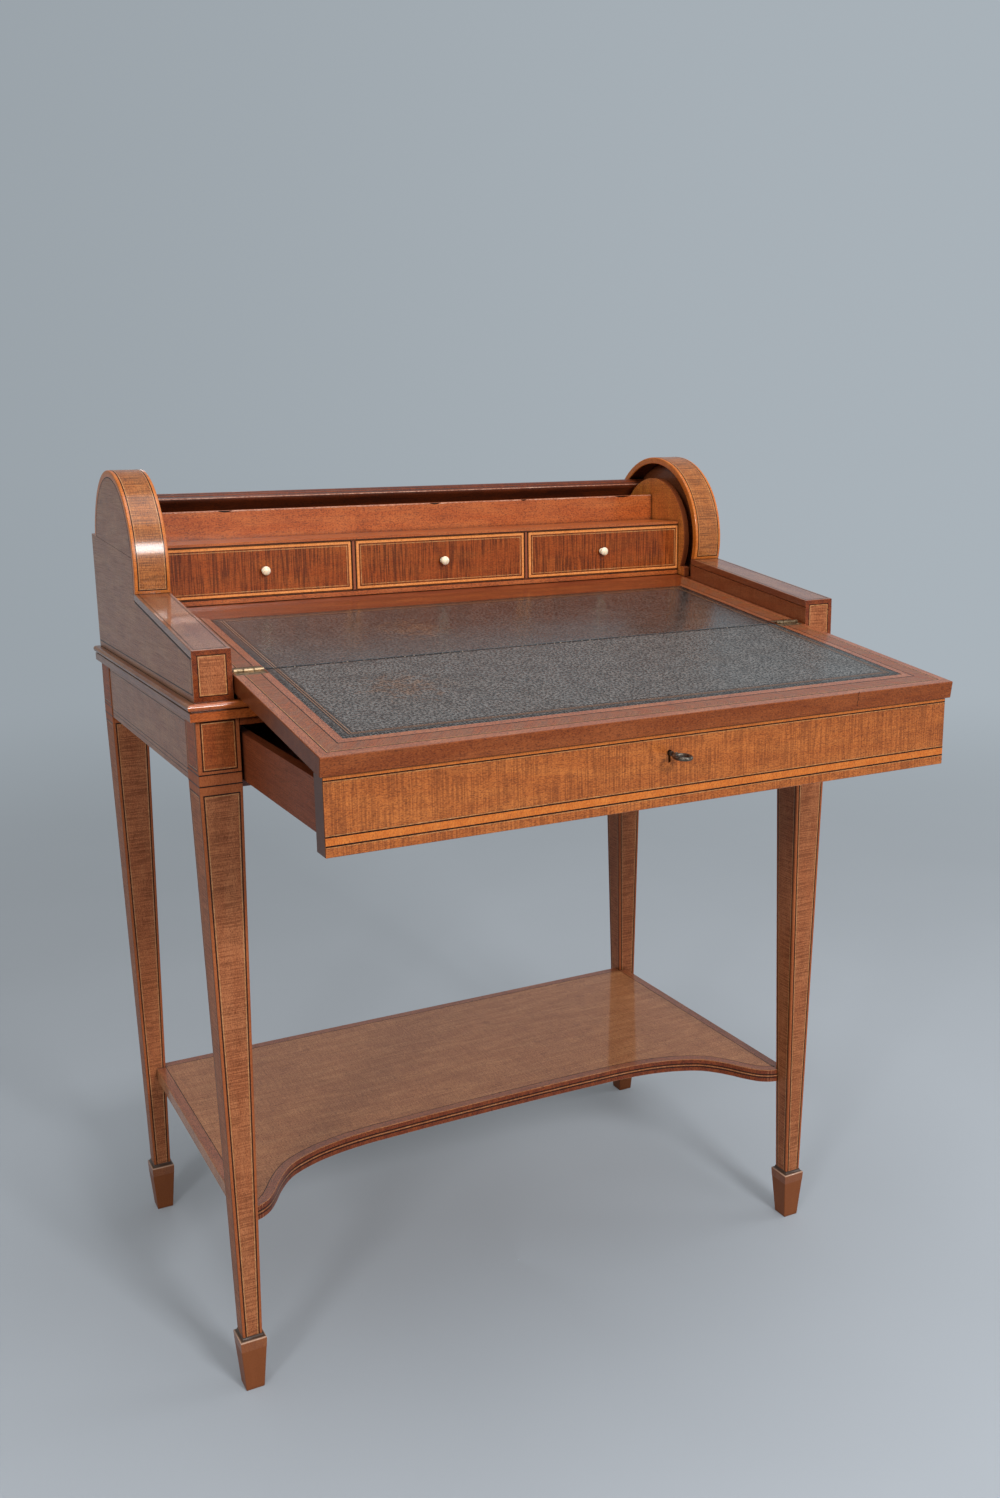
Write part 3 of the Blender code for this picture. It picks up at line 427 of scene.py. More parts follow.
def turned(profile, origin, axis, steps=32):
    """A profile of (radius, distance along the axis) spun about the axis, as a path of angles."""
    axis = np.asarray(axis, float)
    first = np.cross(axis, UP if abs(axis[2]) < 0.9 else RIGHT)
    second = np.cross(axis, first)
    angle = np.arange(steps)[:, None, None] * TAU / steps
    radius, distance = profile[None, :, :1], profile[None, :, 1:]
    spun = radius * (np.cos(angle) * first + np.sin(angle) * second)
    return carried(np.asarray(origin, float) + spun + distance * axis, closed=True, around=False)


def wire_ring(path, radius, steps=14):
    """A round section carried along a closed path, in a frame of tangent, level side and their normal."""
    tangent = np.roll(path, -1, 0) - np.roll(path, 1, 0)
    tangent /= np.linalg.norm(tangent, axis=1, keepdims=True)
    side = np.cross(tangent, UP)
    side /= np.linalg.norm(side, axis=1, keepdims=True)
    up = np.cross(side, tangent)
    angle = (np.arange(steps) * TAU / steps)[None, :, None]
    section = radius * (np.cos(angle) * side[:, None] + np.sin(angle) * up[:, None])
    return carried(path[:, None] + section, closed=True)


def rounded(width, height, radius, steps=5):
    """A rectangle about the origin with its corners turned to quarter circles, as a closed loop."""
    quarter = np.linspace(0, TAU / 4, steps)
    centre = np.array((width / 2 - radius, height / 2 - radius))
    signs = ((1, 1), (-1, 1), (-1, -1), (1, -1))
    turns = [quarter + k * TAU / 4 for k in range(4)]
    arcs = (radius * pairs(np.cos(turn), np.sin(turn)) for turn in turns)
    return np.concatenate([centre * sign + arc for sign, arc in zip(signs, arcs)])


def add(tree, kind, inputs=None, **settings):
    """Adds a node, sets its properties, and fills its inputs with values or links from other sockets."""
    made = tree.nodes.new(kind)
    for name, value in settings.items():
        setattr(made, name, value)
    for key, value in (inputs or {}).items():
        if isinstance(value, bpy.types.NodeSocket):
            tree.links.new(value, made.inputs[key])
        else:
            made.inputs[key].default_value = value
    return made


def blank(name):
    """A new material with an output and a Principled shader; returns its tree and the shader."""
    material = bpy.data.materials.new(name)
    material.use_nodes = True
    tree = material.node_tree
    tree.nodes.clear()
    shader = add(tree, "ShaderNodeBsdfPrincipled")
    add(tree, "ShaderNodeOutputMaterial", {"Surface": shader.outputs[0]})
    return tree, shader


def wash(tree, shade, over, value, start, full, strength):
    """Lays a colour over another, from nothing where a value is at start to a strength where it is full."""
    amount = add(tree, "ShaderNodeMapRange", {"Value": value, "From Min": start, "From Max": full,
                                              "To Min": 0.0, "To Max": strength}).outputs[0]
    return add(tree, "ShaderNodeMix", {0: amount, 6: shade, 7: over}, data_type="RGBA").outputs[2]


def veneer(name, tones, grain, space="Object", ripple=0.3, period=2.6, gloss=0.28, coat=0.22, figure=1.0,
           specular=0.35, polish=0.14, pores=0.6):
    """Polished veneer: fibres along the grain, ripples across it, pores, flecks, cloudy tone, a thin shine.

    The tones are a dark streak, the ground and a pale streak. The grain is the axis that the fibres follow,
    in the solid's own space, or along (X) or across (Y) a tape's UV. The ripples are noise drawn out across
    the grain, stronger in some places than in others, and period is their pitch in millimetres. Painted
    shade, laid by an ambient occlusion mask, darkens the corners and the joints between parts.
    """
    deep, ground, pale = (hue(tone) for tone in tones.split())
    tree, shader = blank(name)
    place = add(tree, "ShaderNodeTexCoord").outputs[space]
    # Each layer of figure: its size in millimetres along and across the grain, and its detail. Real pores
    # are about 0.15 mm wide and real fibres finer, too fine to show, so both are drawn as coarse as they
    # need to be
    sizes = {"cloud": (60, 11, 2.0), "fibre": (34, 0.5, 2.0), "pore": (2.6, 0.30, 0.0),
             "stain": (20, 12, 3.0), "cluster": (24, 20, 1.0), "fleck": (1.8, 0.8, 1.0),
             "peel": (1.6, 1.6, 1.0), "ripple": (0.5 * period, 14 * period, 0.5)}
    # Each layer's noise is moved by this much, so that no two run together
    apart = 7.3
    layer = {}
    for shift, (kind, (run, cross, detail)) in enumerate(sizes.items()):
        scale = [1 / (cross * MM)] * 3
        scale["XYZ".index(grain)] = 1 / (run * MM)
        inputs = {"Vector": place, "Scale": scale, "Location": (apart * shift,) * 3}
        moved = add(tree, "ShaderNodeMapping", inputs)
        inputs = {"Vector": moved.outputs[0], "Scale": 1.0, "Detail": detail, "Distortion": 0.2}
        layer[kind] = add(tree, "ShaderNodeTexNoise", inputs).outputs["Fac"]
    bands = add(tree, "ShaderNodeMapRange", {"Value": layer["ripple"], "From Min": 0.42, "From Max": 0.60})
    where = add(tree, "ShaderNodeMapRange", {"Value": layer["cluster"], "From Min": 0.30, "From Max": 0.52,
                                             "To Min": 0.4})
    both = {0: bands.outputs[0], 1: where.outputs[0]}
    layer["ripple"] = add(tree, "ShaderNodeMath", both, operation="MULTIPLY").outputs[0]
    # The corner layer is an ambient occlusion mask, which lays painted shade in corners and joints
    layer["corner"] = add(tree, "ShaderNodeAmbientOcclusion", {"Distance": 5 * MM}, samples=4).outputs["AO"]
    # Each wash of colour over the ground: its layer, where it starts and is full, its strength and colour.
    # The corner wash is painted shade from the occlusion mask
    # The pale fleck wash is the grain's pale specks and also painted glints
    washes = (("cloud", 0.42, 0.66, 0.6 * figure, pale), ("fleck", 0.46, 0.34, 0.5 * figure, pale),
              ("ripple", 0.0, 1.0, ripple, deep), ("fibre", 0.50, 0.74, 0.45 * figure, deep),
              ("fleck", 0.54, 0.66, 0.6 * figure, deep), ("pore", 0.63, 0.72, pores, deep),
              ("stain", 0.62, 0.80, 0.35 * figure, deep), ("corner", 0.85, 0.40, 0.7, hue("dirt")))
    shade = ground
    for kind, start, full, strength, over in washes:
        shade = wash(tree, shade, over, layer[kind], start, full, strength)
    tree.links.new(shade, shader.inputs["Base Color"])
    worn = add(tree, "ShaderNodeMapRange", {"Value": layer["fibre"], "From Min": 0.3, "From Max": 0.7,
                                            "To Min": gloss, "To Max": gloss + 0.14 * figure})
    tree.links.new(worn.outputs[0], shader.inputs["Roughness"])
    # The polish has sunk a little into the wood, so its shine is broken
    uneven = add(tree, "ShaderNodeBump", {"Height": layer["peel"], "Strength": 0.3, "Distance": 0.06 * MM})
    tree.links.new(uneven.outputs[0], shader.inputs["Coat Normal"])
    relief = add(tree, "ShaderNodeBump", {"Height": layer["pore"], "Strength": 0.3, "Distance": 0.05 * MM,
                                          "Normal": uneven.outputs[0]}, invert=True)
    tree.links.new(relief.outputs[0], shader.inputs["Normal"])
    shader.inputs["Specular IOR Level"].default_value = specular
    shader.inputs["Coat Weight"].default_value = coat
    shader.inputs["Coat Roughness"].default_value = polish
    return tree, shader, shade


def stained(made, axis, start, full, over, strength=0.85, by_normal=False):
    """Stains a veneer where a coordinate of its place, or of its normal, goes from start to full.

    The sign of the coordinate doesn't count, so both sides of the desk are stained alike.
    """
    tree, shader, shade = made
    if by_normal:
        source = add(tree, "ShaderNodeNewGeometry").outputs["Normal"]
    else:
        source = add(tree, "ShaderNodeTexCoord").outputs["Object"]
    level = add(tree, "ShaderNodeSeparateXYZ", {0: source}).outputs[axis]
    level = add(tree, "ShaderNodeMath", {0: level}, operation="ABSOLUTE").outputs[0]
    shade = wash(tree, shade, hue(over), level, start, full, strength)
    tree.links.new(shade, shader.inputs["Base Color"])
    return tree, shader, shade


def tooled_leather(name, ground, half_width, depth, patch, gloss, specular, relief_depth):
    """Old hide, dyed dark and blind-tooled: its shine broken by the pebble, rubbed brown in patches.

    UV is in metres: u from the middle, v from the hinge. The distance to the nearest of the three tooled
    edges is the lesser of half_width - |u| and depth - v, and each tooled line is a band of that distance.
    """
    tree, shader = blank(name)
    uv = add(tree, "ShaderNodeUVMap", uv_map="Veneer").outputs[0]
    u, v, _ = add(tree, "ShaderNodeSeparateXYZ", {0: uv}).outputs
    aside = add(tree, "ShaderNodeMath", {0: u}, operation="ABSOLUTE").outputs[0]
    to_side = add(tree, "ShaderNodeMath", {0: half_width, 1: aside}, operation="SUBTRACT").outputs[0]
    to_end = add(tree, "ShaderNodeMath", {0: depth, 1: v}, operation="SUBTRACT").outputs[0]
    edge = add(tree, "ShaderNodeMath", {0: to_side, 1: to_end}, operation="MINIMUM").outputs[0]
    along = add(tree, "ShaderNodeMath", {0: u, 1: v}, operation="ADD").outputs[0]
    slant = add(tree, "ShaderNodeMath", {0: edge, 1: 0.7, 2: along}, operation="MULTIPLY_ADD").outputs[0]
    layer = {}
    # Each layer: its size in millimetres and its detail. A real pebble is about 1 mm wide, too fine to
    # show, so it is drawn as coarse as it needs to be
    for kind, size, detail in (("pebble", 2.4, 3.0), ("blotch", 20, 8.0), ("cloud", 60, 3.0),
                               ("scuff", 8, 4.0), ("frayed", 2.4, 2.0)):
        inputs = {"Vector": uv, "Scale": 1 / (size * MM), "Detail": detail, "Distortion": 0.4}
        layer[kind] = add(tree, "ShaderNodeTexNoise", inputs).outputs["Fac"]
    black, ridge_highlight = hue("leather_black"), hue("leather_line")
    worn = hue("leather_worn")
    away = add(tree, "ShaderNodeVectorMath", {0: uv, 1: (*patch, 0)}, operation="DISTANCE").outputs["Value"]
    near = add(tree, "ShaderNodeMapRange", {"Value": away, "From Min": 60 * MM, "From Max": 5 * MM,
                                            "To Min": 0.0, "To Max": 0.36}).outputs[0]
    rubbed = add(tree, "ShaderNodeMath", {0: layer["scuff"], 1: near}, operation="ADD").outputs[0]
    shade = wash(tree, hue(ground), worn, layer["cloud"], 0.45, 0.80, 0.18)
    shade = wash(tree, shade, worn, rubbed, 0.64, 0.86, 0.75)
    shade = wash(tree, shade, black, layer["blotch"], 0.56, 0.40, 0.22)
    shade = wash(tree, shade, black, layer["pebble"], 0.54, 0.46, 0.80)
    # The margin outside the lines is darker, where hands have not rubbed it
    shade = wash(tree, shade, black, edge, 7.0 * MM, 6.0 * MM, 0.25)
    pressed = 0.0
    # Each tooled line: its distance from the edge, half its width and the spacing of its marks, where it
    # has any, in millimetres, and its colour
    # The brown bands between the dark tooled lines are rubbed leather and also a painted highlight on the
    # ridges
    for middle, half, pitch, over in ((2.4, 1.8, 3.2, black), (7.0, 0.7, 0, black), (8.2, 0.5, 0, ridge_highlight),
                                      (9.4, 0.7, 0, black), (10.6, 0.5, 0, ridge_highlight), (12.6, 1.3, 3.2, black)):
        inputs = {0: edge, 1: middle * MM, 2: half * MM}
        band = add(tree, "ShaderNodeMath", inputs, operation="COMPARE").outputs[0]
        if pitch:
            inputs = {0: slant, 1: TAU / (pitch * MM)}
            turn = add(tree, "ShaderNodeMath", inputs, operation="MULTIPLY").outputs[0]
            wave = add(tree, "ShaderNodeMath", {0: turn}, operation="SINE").outputs[0]
            mark = add(tree, "ShaderNodeMath", {0: wave, 1: -0.1}, operation="GREATER_THAN").outputs[0]
            band = add(tree, "ShaderNodeMath", {0: band, 1: mark}, operation="MULTIPLY").outputs[0]
        shade = wash(tree, shade, over, band, 0.0, 1.0, 0.95)
        if over is black:
            pressed = add(tree, "ShaderNodeMath", {0: pressed, 1: band}, operation="MAXIMUM").outputs[0]
    # At the fold by the hinge a black band is painted shade for the gap between the leathers as well as a
    # crack, and pale threads show where it has frayed
    shade = wash(tree, shade, black, v, 2.2 * MM, 1.2 * MM, 0.95)
    fold = add(tree, "ShaderNodeMath", {0: v, 1: 0.7 * MM}, operation="LESS_THAN").outputs[0]
    threads = add(tree, "ShaderNodeMath", {0: layer["frayed"], 1: 0.62}, operation="GREATER_THAN").outputs[0]
    frayed = add(tree, "ShaderNodeMath", {0: fold, 1: threads}, operation="MULTIPLY").outputs[0]
    shade = wash(tree, shade, hue("leather_dust"), frayed, 0.0, 1.0, 0.8)
    tree.links.new(shade, shader.inputs["Base Color"])
    sunk = add(tree, "ShaderNodeMath", {0: pressed, 1: 0.8}, operation="MULTIPLY").outputs[0]
    height = add(tree, "ShaderNodeMath", {0: layer["pebble"], 1: sunk}, operation="SUBTRACT").outputs[0]
    relief = add(tree, "ShaderNodeBump", {"Height": height, "Strength": 1.0, "Distance": relief_depth})
    tree.links.new(relief.outputs[0], shader.inputs["Normal"])
    shine = add(tree, "ShaderNodeMapRange", {"Value": layer["cloud"], "From Min": 0.3, "From Max": 0.7,
                                             "To Min": gloss, "To Max": gloss + 0.1})
    tree.links.new(shine.outputs[0], shader.inputs["Roughness"])
    shader.inputs["Specular IOR Level"].default_value = specular


def metal(name, ground, tarnish, roughness):
    """Cast or forged metal, handled for years: tarnish in clouds, fine scratches that break the shine."""
    tree, shader = blank(name)
    place = add(tree, "ShaderNodeTexCoord").outputs["Object"]
    cloud = add(tree, "ShaderNodeTexNoise", {"Vector": place, "Scale": 1 / (4 * MM), "Detail": 4.0})
    scratches = add(tree, "ShaderNodeTexNoise", {"Vector": place, "Scale": 1 / (0.5 * MM), "Detail": 2.0})
    fine = scratches.outputs["Fac"]
    shade = wash(tree, hue(ground), hue(tarnish), cloud.outputs["Fac"], 0.45, 0.7, 0.85)
    tree.links.new(shade, shader.inputs["Base Color"])
    shine = add(tree, "ShaderNodeMapRange", {"Value": fine, "From Min": 0.3, "From Max": 0.7,
                                             "To Min": roughness - 0.08, "To Max": roughness + 0.12})
    tree.links.new(shine.outputs[0], shader.inputs["Roughness"])
    relief = add(tree, "ShaderNodeBump", {"Height": fine, "Strength": 0.2, "Distance": 0.05 * MM})
    tree.links.new(relief.outputs[0], shader.inputs["Normal"])
    shader.inputs["Metallic"].default_value = 1.0


def turned_bone(name):
    """Turned bone: cream with faint darker streaks, polished by fingers, a little light passing in."""
    tree, shader = blank(name)
    place = add(tree, "ShaderNodeTexCoord").outputs["Object"]
    # Streaks are about 1.2 mm wide and five times as long, along the knob's axis
    scale = [1 / (size * MM) for size in (1.2, 6, 1.2)]
    stretched = add(tree, "ShaderNodeMapping", {"Vector": place, "Scale": scale})
    streak = add(tree, "ShaderNodeTexNoise", {"Vector": stretched.outputs[0], "Scale": 1.0, "Detail": 3.0})
    shade = wash(tree, hue("bone"), hue("bone_streak"), streak.outputs["Fac"], 0.45, 0.75, 0.6)
    tree.links.new(shade, shader.inputs["Base Color"])
    shader.inputs["Roughness"].default_value = 0.28
    shader.inputs["Subsurface Weight"].default_value = 0.15
    shader.inputs["Subsurface Scale"].default_value = 1.0 * MM


# The finish of each solid that stays in view; a star stands for any end of a name
KEPT = {
    "satinwood_leg": "leg_*",
    "side_mahogany": "side_rail_* end_panel_* cheek_*",
    "arm_cap_mahogany": "arm_cap_*",
    "grimed_mahogany": "cylinder_crank_*",
    "red_mahogany_x": "back_rail front_top_rail front_bearer back_board writing_bed",
    "gallery_mahogany": "nest_floor nest_shelf nest_back",
    "flap_mahogany": "writing_flap",
    "fiddleback_along_x": "drawer_front",
    "fiddleback_shelf": "undershelf",
    "nest_end_mahogany": "nest_end_* nest_divider_*",
    "satinwood_along_x": "small_front_*",
    "mahogany_lining": "drawer_runner_* dust_board drawer_side_* drawer_bottom drawer_back small_tray_*",
    "old_brass": "bed_hinge_* flap_hinge_*",
    "forged_steel": "lock_case",
}


class BUREAU_OT_finishes(bpy.types.Operator):
    """Makes every wood and metal, and gives each solid that stays in view its own"""

    bl_idname = "bureau.finishes"
    bl_label = "Finishes"

    def execute(self, context):
        self.solid_woods()
        self.tapes()
        # Cast brass, unpolished for years: a dull gold with brown clouds
        metal("old_brass", "brass", "brass_dull", 0.4)
        # Forged steel, handled daily: dark grey, bright only where fingers rub it
        metal("forged_steel", "steel", "steel_dull", 0.38)
        turned_bone("turned_bone")
        for material, patterns in KEPT.items():
            for pattern in patterns.split():
                for name in fnmatch.filter(frame["nodes"], pattern):
                    slots = frame["nodes"][name].data.materials
                    slots.clear()
                    slots.append(bpy.data.materials[material])
        return {"FINISHED"}

    def solid_woods(self):
        """Woods that are seen on a solid of the frame, whose grain follows an axis of the desk."""
        # Solid red mahogany, planed and polished: straight dark streaks, hardly a ripple
        veneer("red_mahogany_x", "red_deep red red_pale", "X", ripple=0.12)
        # The nest's ends are faded to orange, with front edges darkened by hands
        made = veneer("nest_end_mahogany", "mahogany_deep nest_end satinwood_pale", "Z", ripple=0.2)
        stained(made, "X", 0.7, 0.4, "nest_edge", by_normal=True)
        # The gallery is one quiet board: long streaks, few pores, a soft shine
        veneer("gallery_mahogany", "red_deep gallery gallery_pale", "X", ripple=0.1, coat=0.3, figure=0.9,
               pores=0.15)
        # Fiddleback is sawn veneer of wavy mahogany: close dark ripples across its grain, dull on the legs
        veneer("fiddleback_upright", "mahogany_deep leg leg_pale", "Z", ripple=0.5, period=1.9, gloss=0.4,
               coat=0.05, specular=0.15, figure=0.7)
        veneer("fiddleback_block", "mahogany_deep block block_pale", "Z", ripple=0.45, period=1.9, gloss=0.4,
               coat=0.1, specular=0.2, figure=0.7)
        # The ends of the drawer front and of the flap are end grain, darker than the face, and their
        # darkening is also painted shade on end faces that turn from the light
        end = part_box("drawer_front")[1].x
        made = veneer("fiddleback_along_x", "mahogany_deep mahogany mahogany_pale", "X", ripple=0.42,
                      period=2.0, coat=0.25, specular=0.25, figure=0.8)
        stained(made, "X", end - 0.5 * MM, end - 0.3 * MM, "red_deep")
        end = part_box("writing_flap")[1].x
        made = veneer("flap_mahogany", "flap_deep flap flap_pale", "X", ripple=0.12, coat=0.1, specular=0.25)
        stained(made, "X", end - 0.5 * MM, end - 0.3 * MM, "red_deep", 0.5)
        # The shelf has faded to tan under a clear polish, which mirrors the legs
        veneer("fiddleback_shelf", "mahogany_deep shelf shelf_pale", "X", ripple=0.2, period=2.0, gloss=0.4,
               coat=0.6, specular=0.15, polish=0.06, figure=1.2)
        # The small drawers' panels are the darkest fiddleback, strongly rippled
        veneer("dark_fiddleback", "panel_deep panel mahogany", "X", ripple=0.65, period=2.2, coat=0.1,
               specular=0.25, figure=0.6)
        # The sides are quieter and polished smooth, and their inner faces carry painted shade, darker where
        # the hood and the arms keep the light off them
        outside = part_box("cheek_right")[1].x
        made = veneer("side_mahogany", "red_deep side side_pale", "Y", ripple=0.2, gloss=0.3, coat=0.25)
        stained(made, "X", outside - MM, outside - 2 * MM, "red", 0.6)
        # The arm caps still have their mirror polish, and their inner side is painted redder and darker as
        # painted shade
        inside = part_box("arm_cap_right")[0].x
        made = veneer("arm_cap_mahogany", "red_deep cap red", "Y", ripple=0.1, gloss=0.3, coat=0.8,
                      polish=0.04)
        stained(made, "X", inside + 0.4 * MM, inside + 0.2 * MM, "red", 0.6)
        # Mahogany behind the cylinder and inside the hood rims is painted almost black: painted shade for
        # places the light hardly reaches
        veneer("grimed_mahogany", "grime_deep grime red", "X", ripple=0.1, gloss=0.35, coat=0.1)
        # Mouldings are run along the grain, so long streaks follow a bright line of polish
        veneer("moulding_mahogany", "red_deep cap red", "Y", ripple=0.1, coat=0.4, polish=0.1)
        veneer("moulding_mahogany_front", "red_deep gallery gallery_pale", "X", ripple=0.1, coat=0.6,
               polish=0.08, figure=0.6)
        # Satinwood is yellow, even and close-grained: a smooth gold rim round the small drawers
        veneer("satinwood_along_x", "satinwood_deep front front_pale", "X", ripple=0.15, coat=0.1,
               specular=0.25, figure=0.4)
        # The borders of the legs are duller, and the plain spade feet below the collar darker still
        made = veneer("satinwood_leg", "satinwood_deep leg_edge leg_edge_pale", "Z", ripple=0.15, gloss=0.4,
                      coat=0.05, specular=0.15, figure=0.6)
        stained(made, "Z", COLLAR_TOP, COLLAR_TOP - MM, "foot_stain", 0.7)
        # The arris round each foot carries a painted highlight, a pale band, and the collar above it is
        # darker in a band over its top
        made = veneer("foot_mahogany", "satinwood_deep foot foot_pale", "Z", ripple=0.1)
        made = stained(made, "Z", 55.6 * MM, 56.6 * MM, "foot_arris", 0.7)
        # Darker over the top of each collar, above the arris
        stained(made, "Z", 56.9 * MM, 57.6 * MM, "foot_hollow", 0.9)
        # Drawer linings are thin unpolished boards: matt, with open pores
        veneer("mahogany_lining", "panel_deep lining red", "Y", ripple=0.1, gloss=0.45, coat=0.05)

    def tapes(self):
        """Woods that are laid as tapes, whose grain follows the tape's own UV."""
        # Bent veneer on the hood rims: the ripples turn with the curve, under a soft broken shine
        veneer("fiddleback_tape", "red_deep hood hood_pale", "X", "UV", ripple=0.5, period=2.2, gloss=0.4,
               coat=0.45, specular=0.2, polish=0.15, figure=0.7)
        # Crossbands are cut across the grain, so short fibres run over the tape
        veneer("satinwood_crossband", "satinwood_deep satinwood satinwood_pale", "Y", "UV", ripple=0.15,
               figure=0.5)
        veneer("tulipwood_crossband", "tulipwood_deep tulipwood red_pale", "Y", "UV", ripple=0.15,
               figure=1.3)
        veneer("mahogany_crossband", "red_deep red red_pale", "Y", "UV", ripple=0.15, coat=0.4,
               specular=0.15, polish=0.08)
        # The plain bands round the leather are long-grained and polished
        veneer("red_mahogany_tape", "red_deep border border_pale", "X", "UV", ripple=0.1, coat=0.4,
               polish=0.1)
        # An arris rubbed pale by hands and dusters, also laid as a painted highlight along the cylinder's
        # nose
        veneer("worn_arris", "red worn worn_pale", "X", "UV", ripple=0.4, period=9)
        # Stringing is dyed sycamore and boxwood, so fine that only a break in its tone shows
        veneer("dyed_stringing", "ebony ebony ebony_pale", "X", "UV", ripple=0.1, coat=0.05, specular=0.15)
        veneer("boxwood_stringing", "boxwood_deep boxwood boxwood_pale", "X", "UV", ripple=0.3, period=8)


def leg_face(name, out):
    """The block and the tapered shaft of one face of a leg, each as a map.

    Also half the leg's width at the block and, with the taper carried on, at the floor, and the
    taper's fall for each metre of height.
    """
    low, high = span(name)
    centre, half = (low + high) / 2, (high[0] - low[0]) / 2
    across = np.cross(UP, out)
    block = on_plane((*centre[:2] + half * out[:2], 0), across, UP)
    fall = (half - ANKLE_HALF) / (BLOCK_FOOT - COLLAR_TOP)
    floor_half = half - fall * BLOCK_FOOT
    slope = (UP + fall * out) / math.hypot(1, fall)
    shaft = on_plane((*centre[:2] + floor_half * out[:2], 0), across, slope)
    return block, shaft, half, floor_half, fall


class BUREAU_OT_legs(bpy.types.Operator):
    """Lays panels, lines and a belt on the four tapered legs, and a collar moulding round each foot"""

    bl_idname = "bureau.legs"
    bl_label = "Legs"

    def execute(self, context):
        sizes = context.scene.bureau_sizes
        parts, blocks = defaultdict(list), defaultdict(list)
        belt_top = BLOCK_FOOT + sizes.leg_belt
        # The moulding covers the upper border of the block's panel
        block_top = MOULDING_FOOT + 2.2 * MM
        shaft_top, shaft_foot = BLOCK_FOOT - 5 * MM, COLLAR_TOP - 14 * MM
        for name, shown in LEGS:
            for out in LEG_FACES:
                block, shaft, half, floor_half, fall = leg_face(name, np.array(out, float))
                top, foot = (floor_half + fall * z for z in (shaft_top, shaft_foot))
                corners = np.array([(-foot, shaft_foot), (foot, shaft_foot),
                                    (top, shaft_top), (-top, shaft_top)])
                inlay(parts, shaft, corners * (1, math.hypot(1, fall)), sizes.leg_taper)
                if out in shown:
                    inlay(blocks, block, rectangle((-half, half), (belt_top, block_top)), sizes.leg_block)
                    for z in (BLOCK_FOOT, belt_top):
                        tape(parts, "ebony", block, (-half, z), (half, z), (0, sizes.line))
        lay("leg", "carcass", parts, "fiddleback_upright")
        lay("leg_block", "carcass", blocks, "fiddleback_block")
        self.collars()
        return {"FINISHED"}

    def collars(self):
        """A profile of half width and height, in millimetres, carried round a square at each foot's top."""
        profile = np.array([(9.4, 60.6), (10.0, 60.4), (10.2, 59.4), (10.9, 58.2), (12.1, 57.4),
                            (12.9, 57.0), (13.2, 56.2), (13.15, 54.6), (12.95, 50.0), (12.75, 46.2),
                            (12.3, 46.0), (9.4, 50.0)]) * MM
        square = np.array([(1, 1), (-1, 1), (-1, -1), (1, -1)], float)[:, None]
        height = np.broadcast_to(profile[None, :, 1:], (4, len(profile), 1))
        parts = []
        for name, _ in LEGS:
            flat = span(name).sum(0)[:2] / 2 + square * profile[None, :, :1]
            parts.append(carried(np.concatenate([flat, height], -1), closed=True))
        piece("foot_collars", parts, "foot_mahogany", "carcass", "mahogany", smooth=50)


class BUREAU_OT_moulding(bpy.types.Operator):
    """Runs the waist moulding, a bead over a flat fascia, round the front and sides with mitred corners"""

    bl_idname = "bureau.moulding"
    bl_label = "Waist moulding"

    def execute(self, context):
        low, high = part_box("waist_moulding_front")
        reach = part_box("leg_front_right")[1].x
        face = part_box("leg_front_right")[0].y
        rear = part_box("waist_moulding_left")[1].y
        radius = context.scene.bureau_sizes.bead / 2
        bead_out = high.x - reach - radius
        angle = np.linspace(TAU / 4, -TAU / 4, 13)
        bead = pairs(bead_out + radius * np.cos(angle), high.z - radius + radius * np.sin(angle))
        fascia = bead_out + 1.4 * MM
        eased, quirk, root = 0.5 * MM, 1.0 * MM, 0.3 * MM
        under = high.z - 2 * radius
        flat = [(bead_out - quirk, under), (bead_out - quirk, under - quirk),
                (fascia - eased, under - quirk), (fascia, under - quirk - eased),
                (fascia, low.z + eased), (fascia - eased, low.z), (root, low.z)]
        out, height = np.concatenate([[(root, high.z)], bead, flat]).T
        runs = {"front": [(sign * (reach + out), face - out) for sign in (-1, 1)]}
        for side, sign in SIDES:
            runs[side] = [(sign * (reach + out), y) for y in (face - out, np.full_like(out, rear))]
        for place, ends in runs.items():
            start, end = (np.stack([x, y, height], 1) for x, y in ends)
            steps, wood = (40, "moulding_mahogany_front") if place == "front" else (30, "moulding_mahogany")
            piece(f"waist_moulding_run_{place}", [carried(line(start, end, steps))], wood, "carcass",
                  "mahogany", replaces=(f"waist_moulding_{place}",), smooth=40)
        return {"FINISHED"}


def round_axis(x, radius, angle):
    """A point at a radius and an angle about the cylinder's axis, the angle from the front over the top."""
    centre = joint("cylinder_turn")
    x, radius, angle = np.broadcast_arrays(x, radius, angle)
    return np.stack([x, centre[1] - radius * np.cos(angle), centre[2] + radius * np.sin(angle)], -1)


def polar(name):
    """Radius and angle of a solid's points about the cylinder's axis, from the front over the top."""
    centre = joint("cylinder_turn")
    points = vertices(name)
    y, z = centre[1] - points[:, 1], points[:, 2] - centre[2]
    return np.hypot(y, z), np.arctan2(z, y) % TAU


def on_arc(radius, out):
    """A face round the cylinder's axis as a map: u is x, v the arc length, h outwards where out is one."""
    def at(uv, h):
        return round_axis(uv[..., 0], radius + out * h[..., 0], uv[..., 1] / radius)

    return at


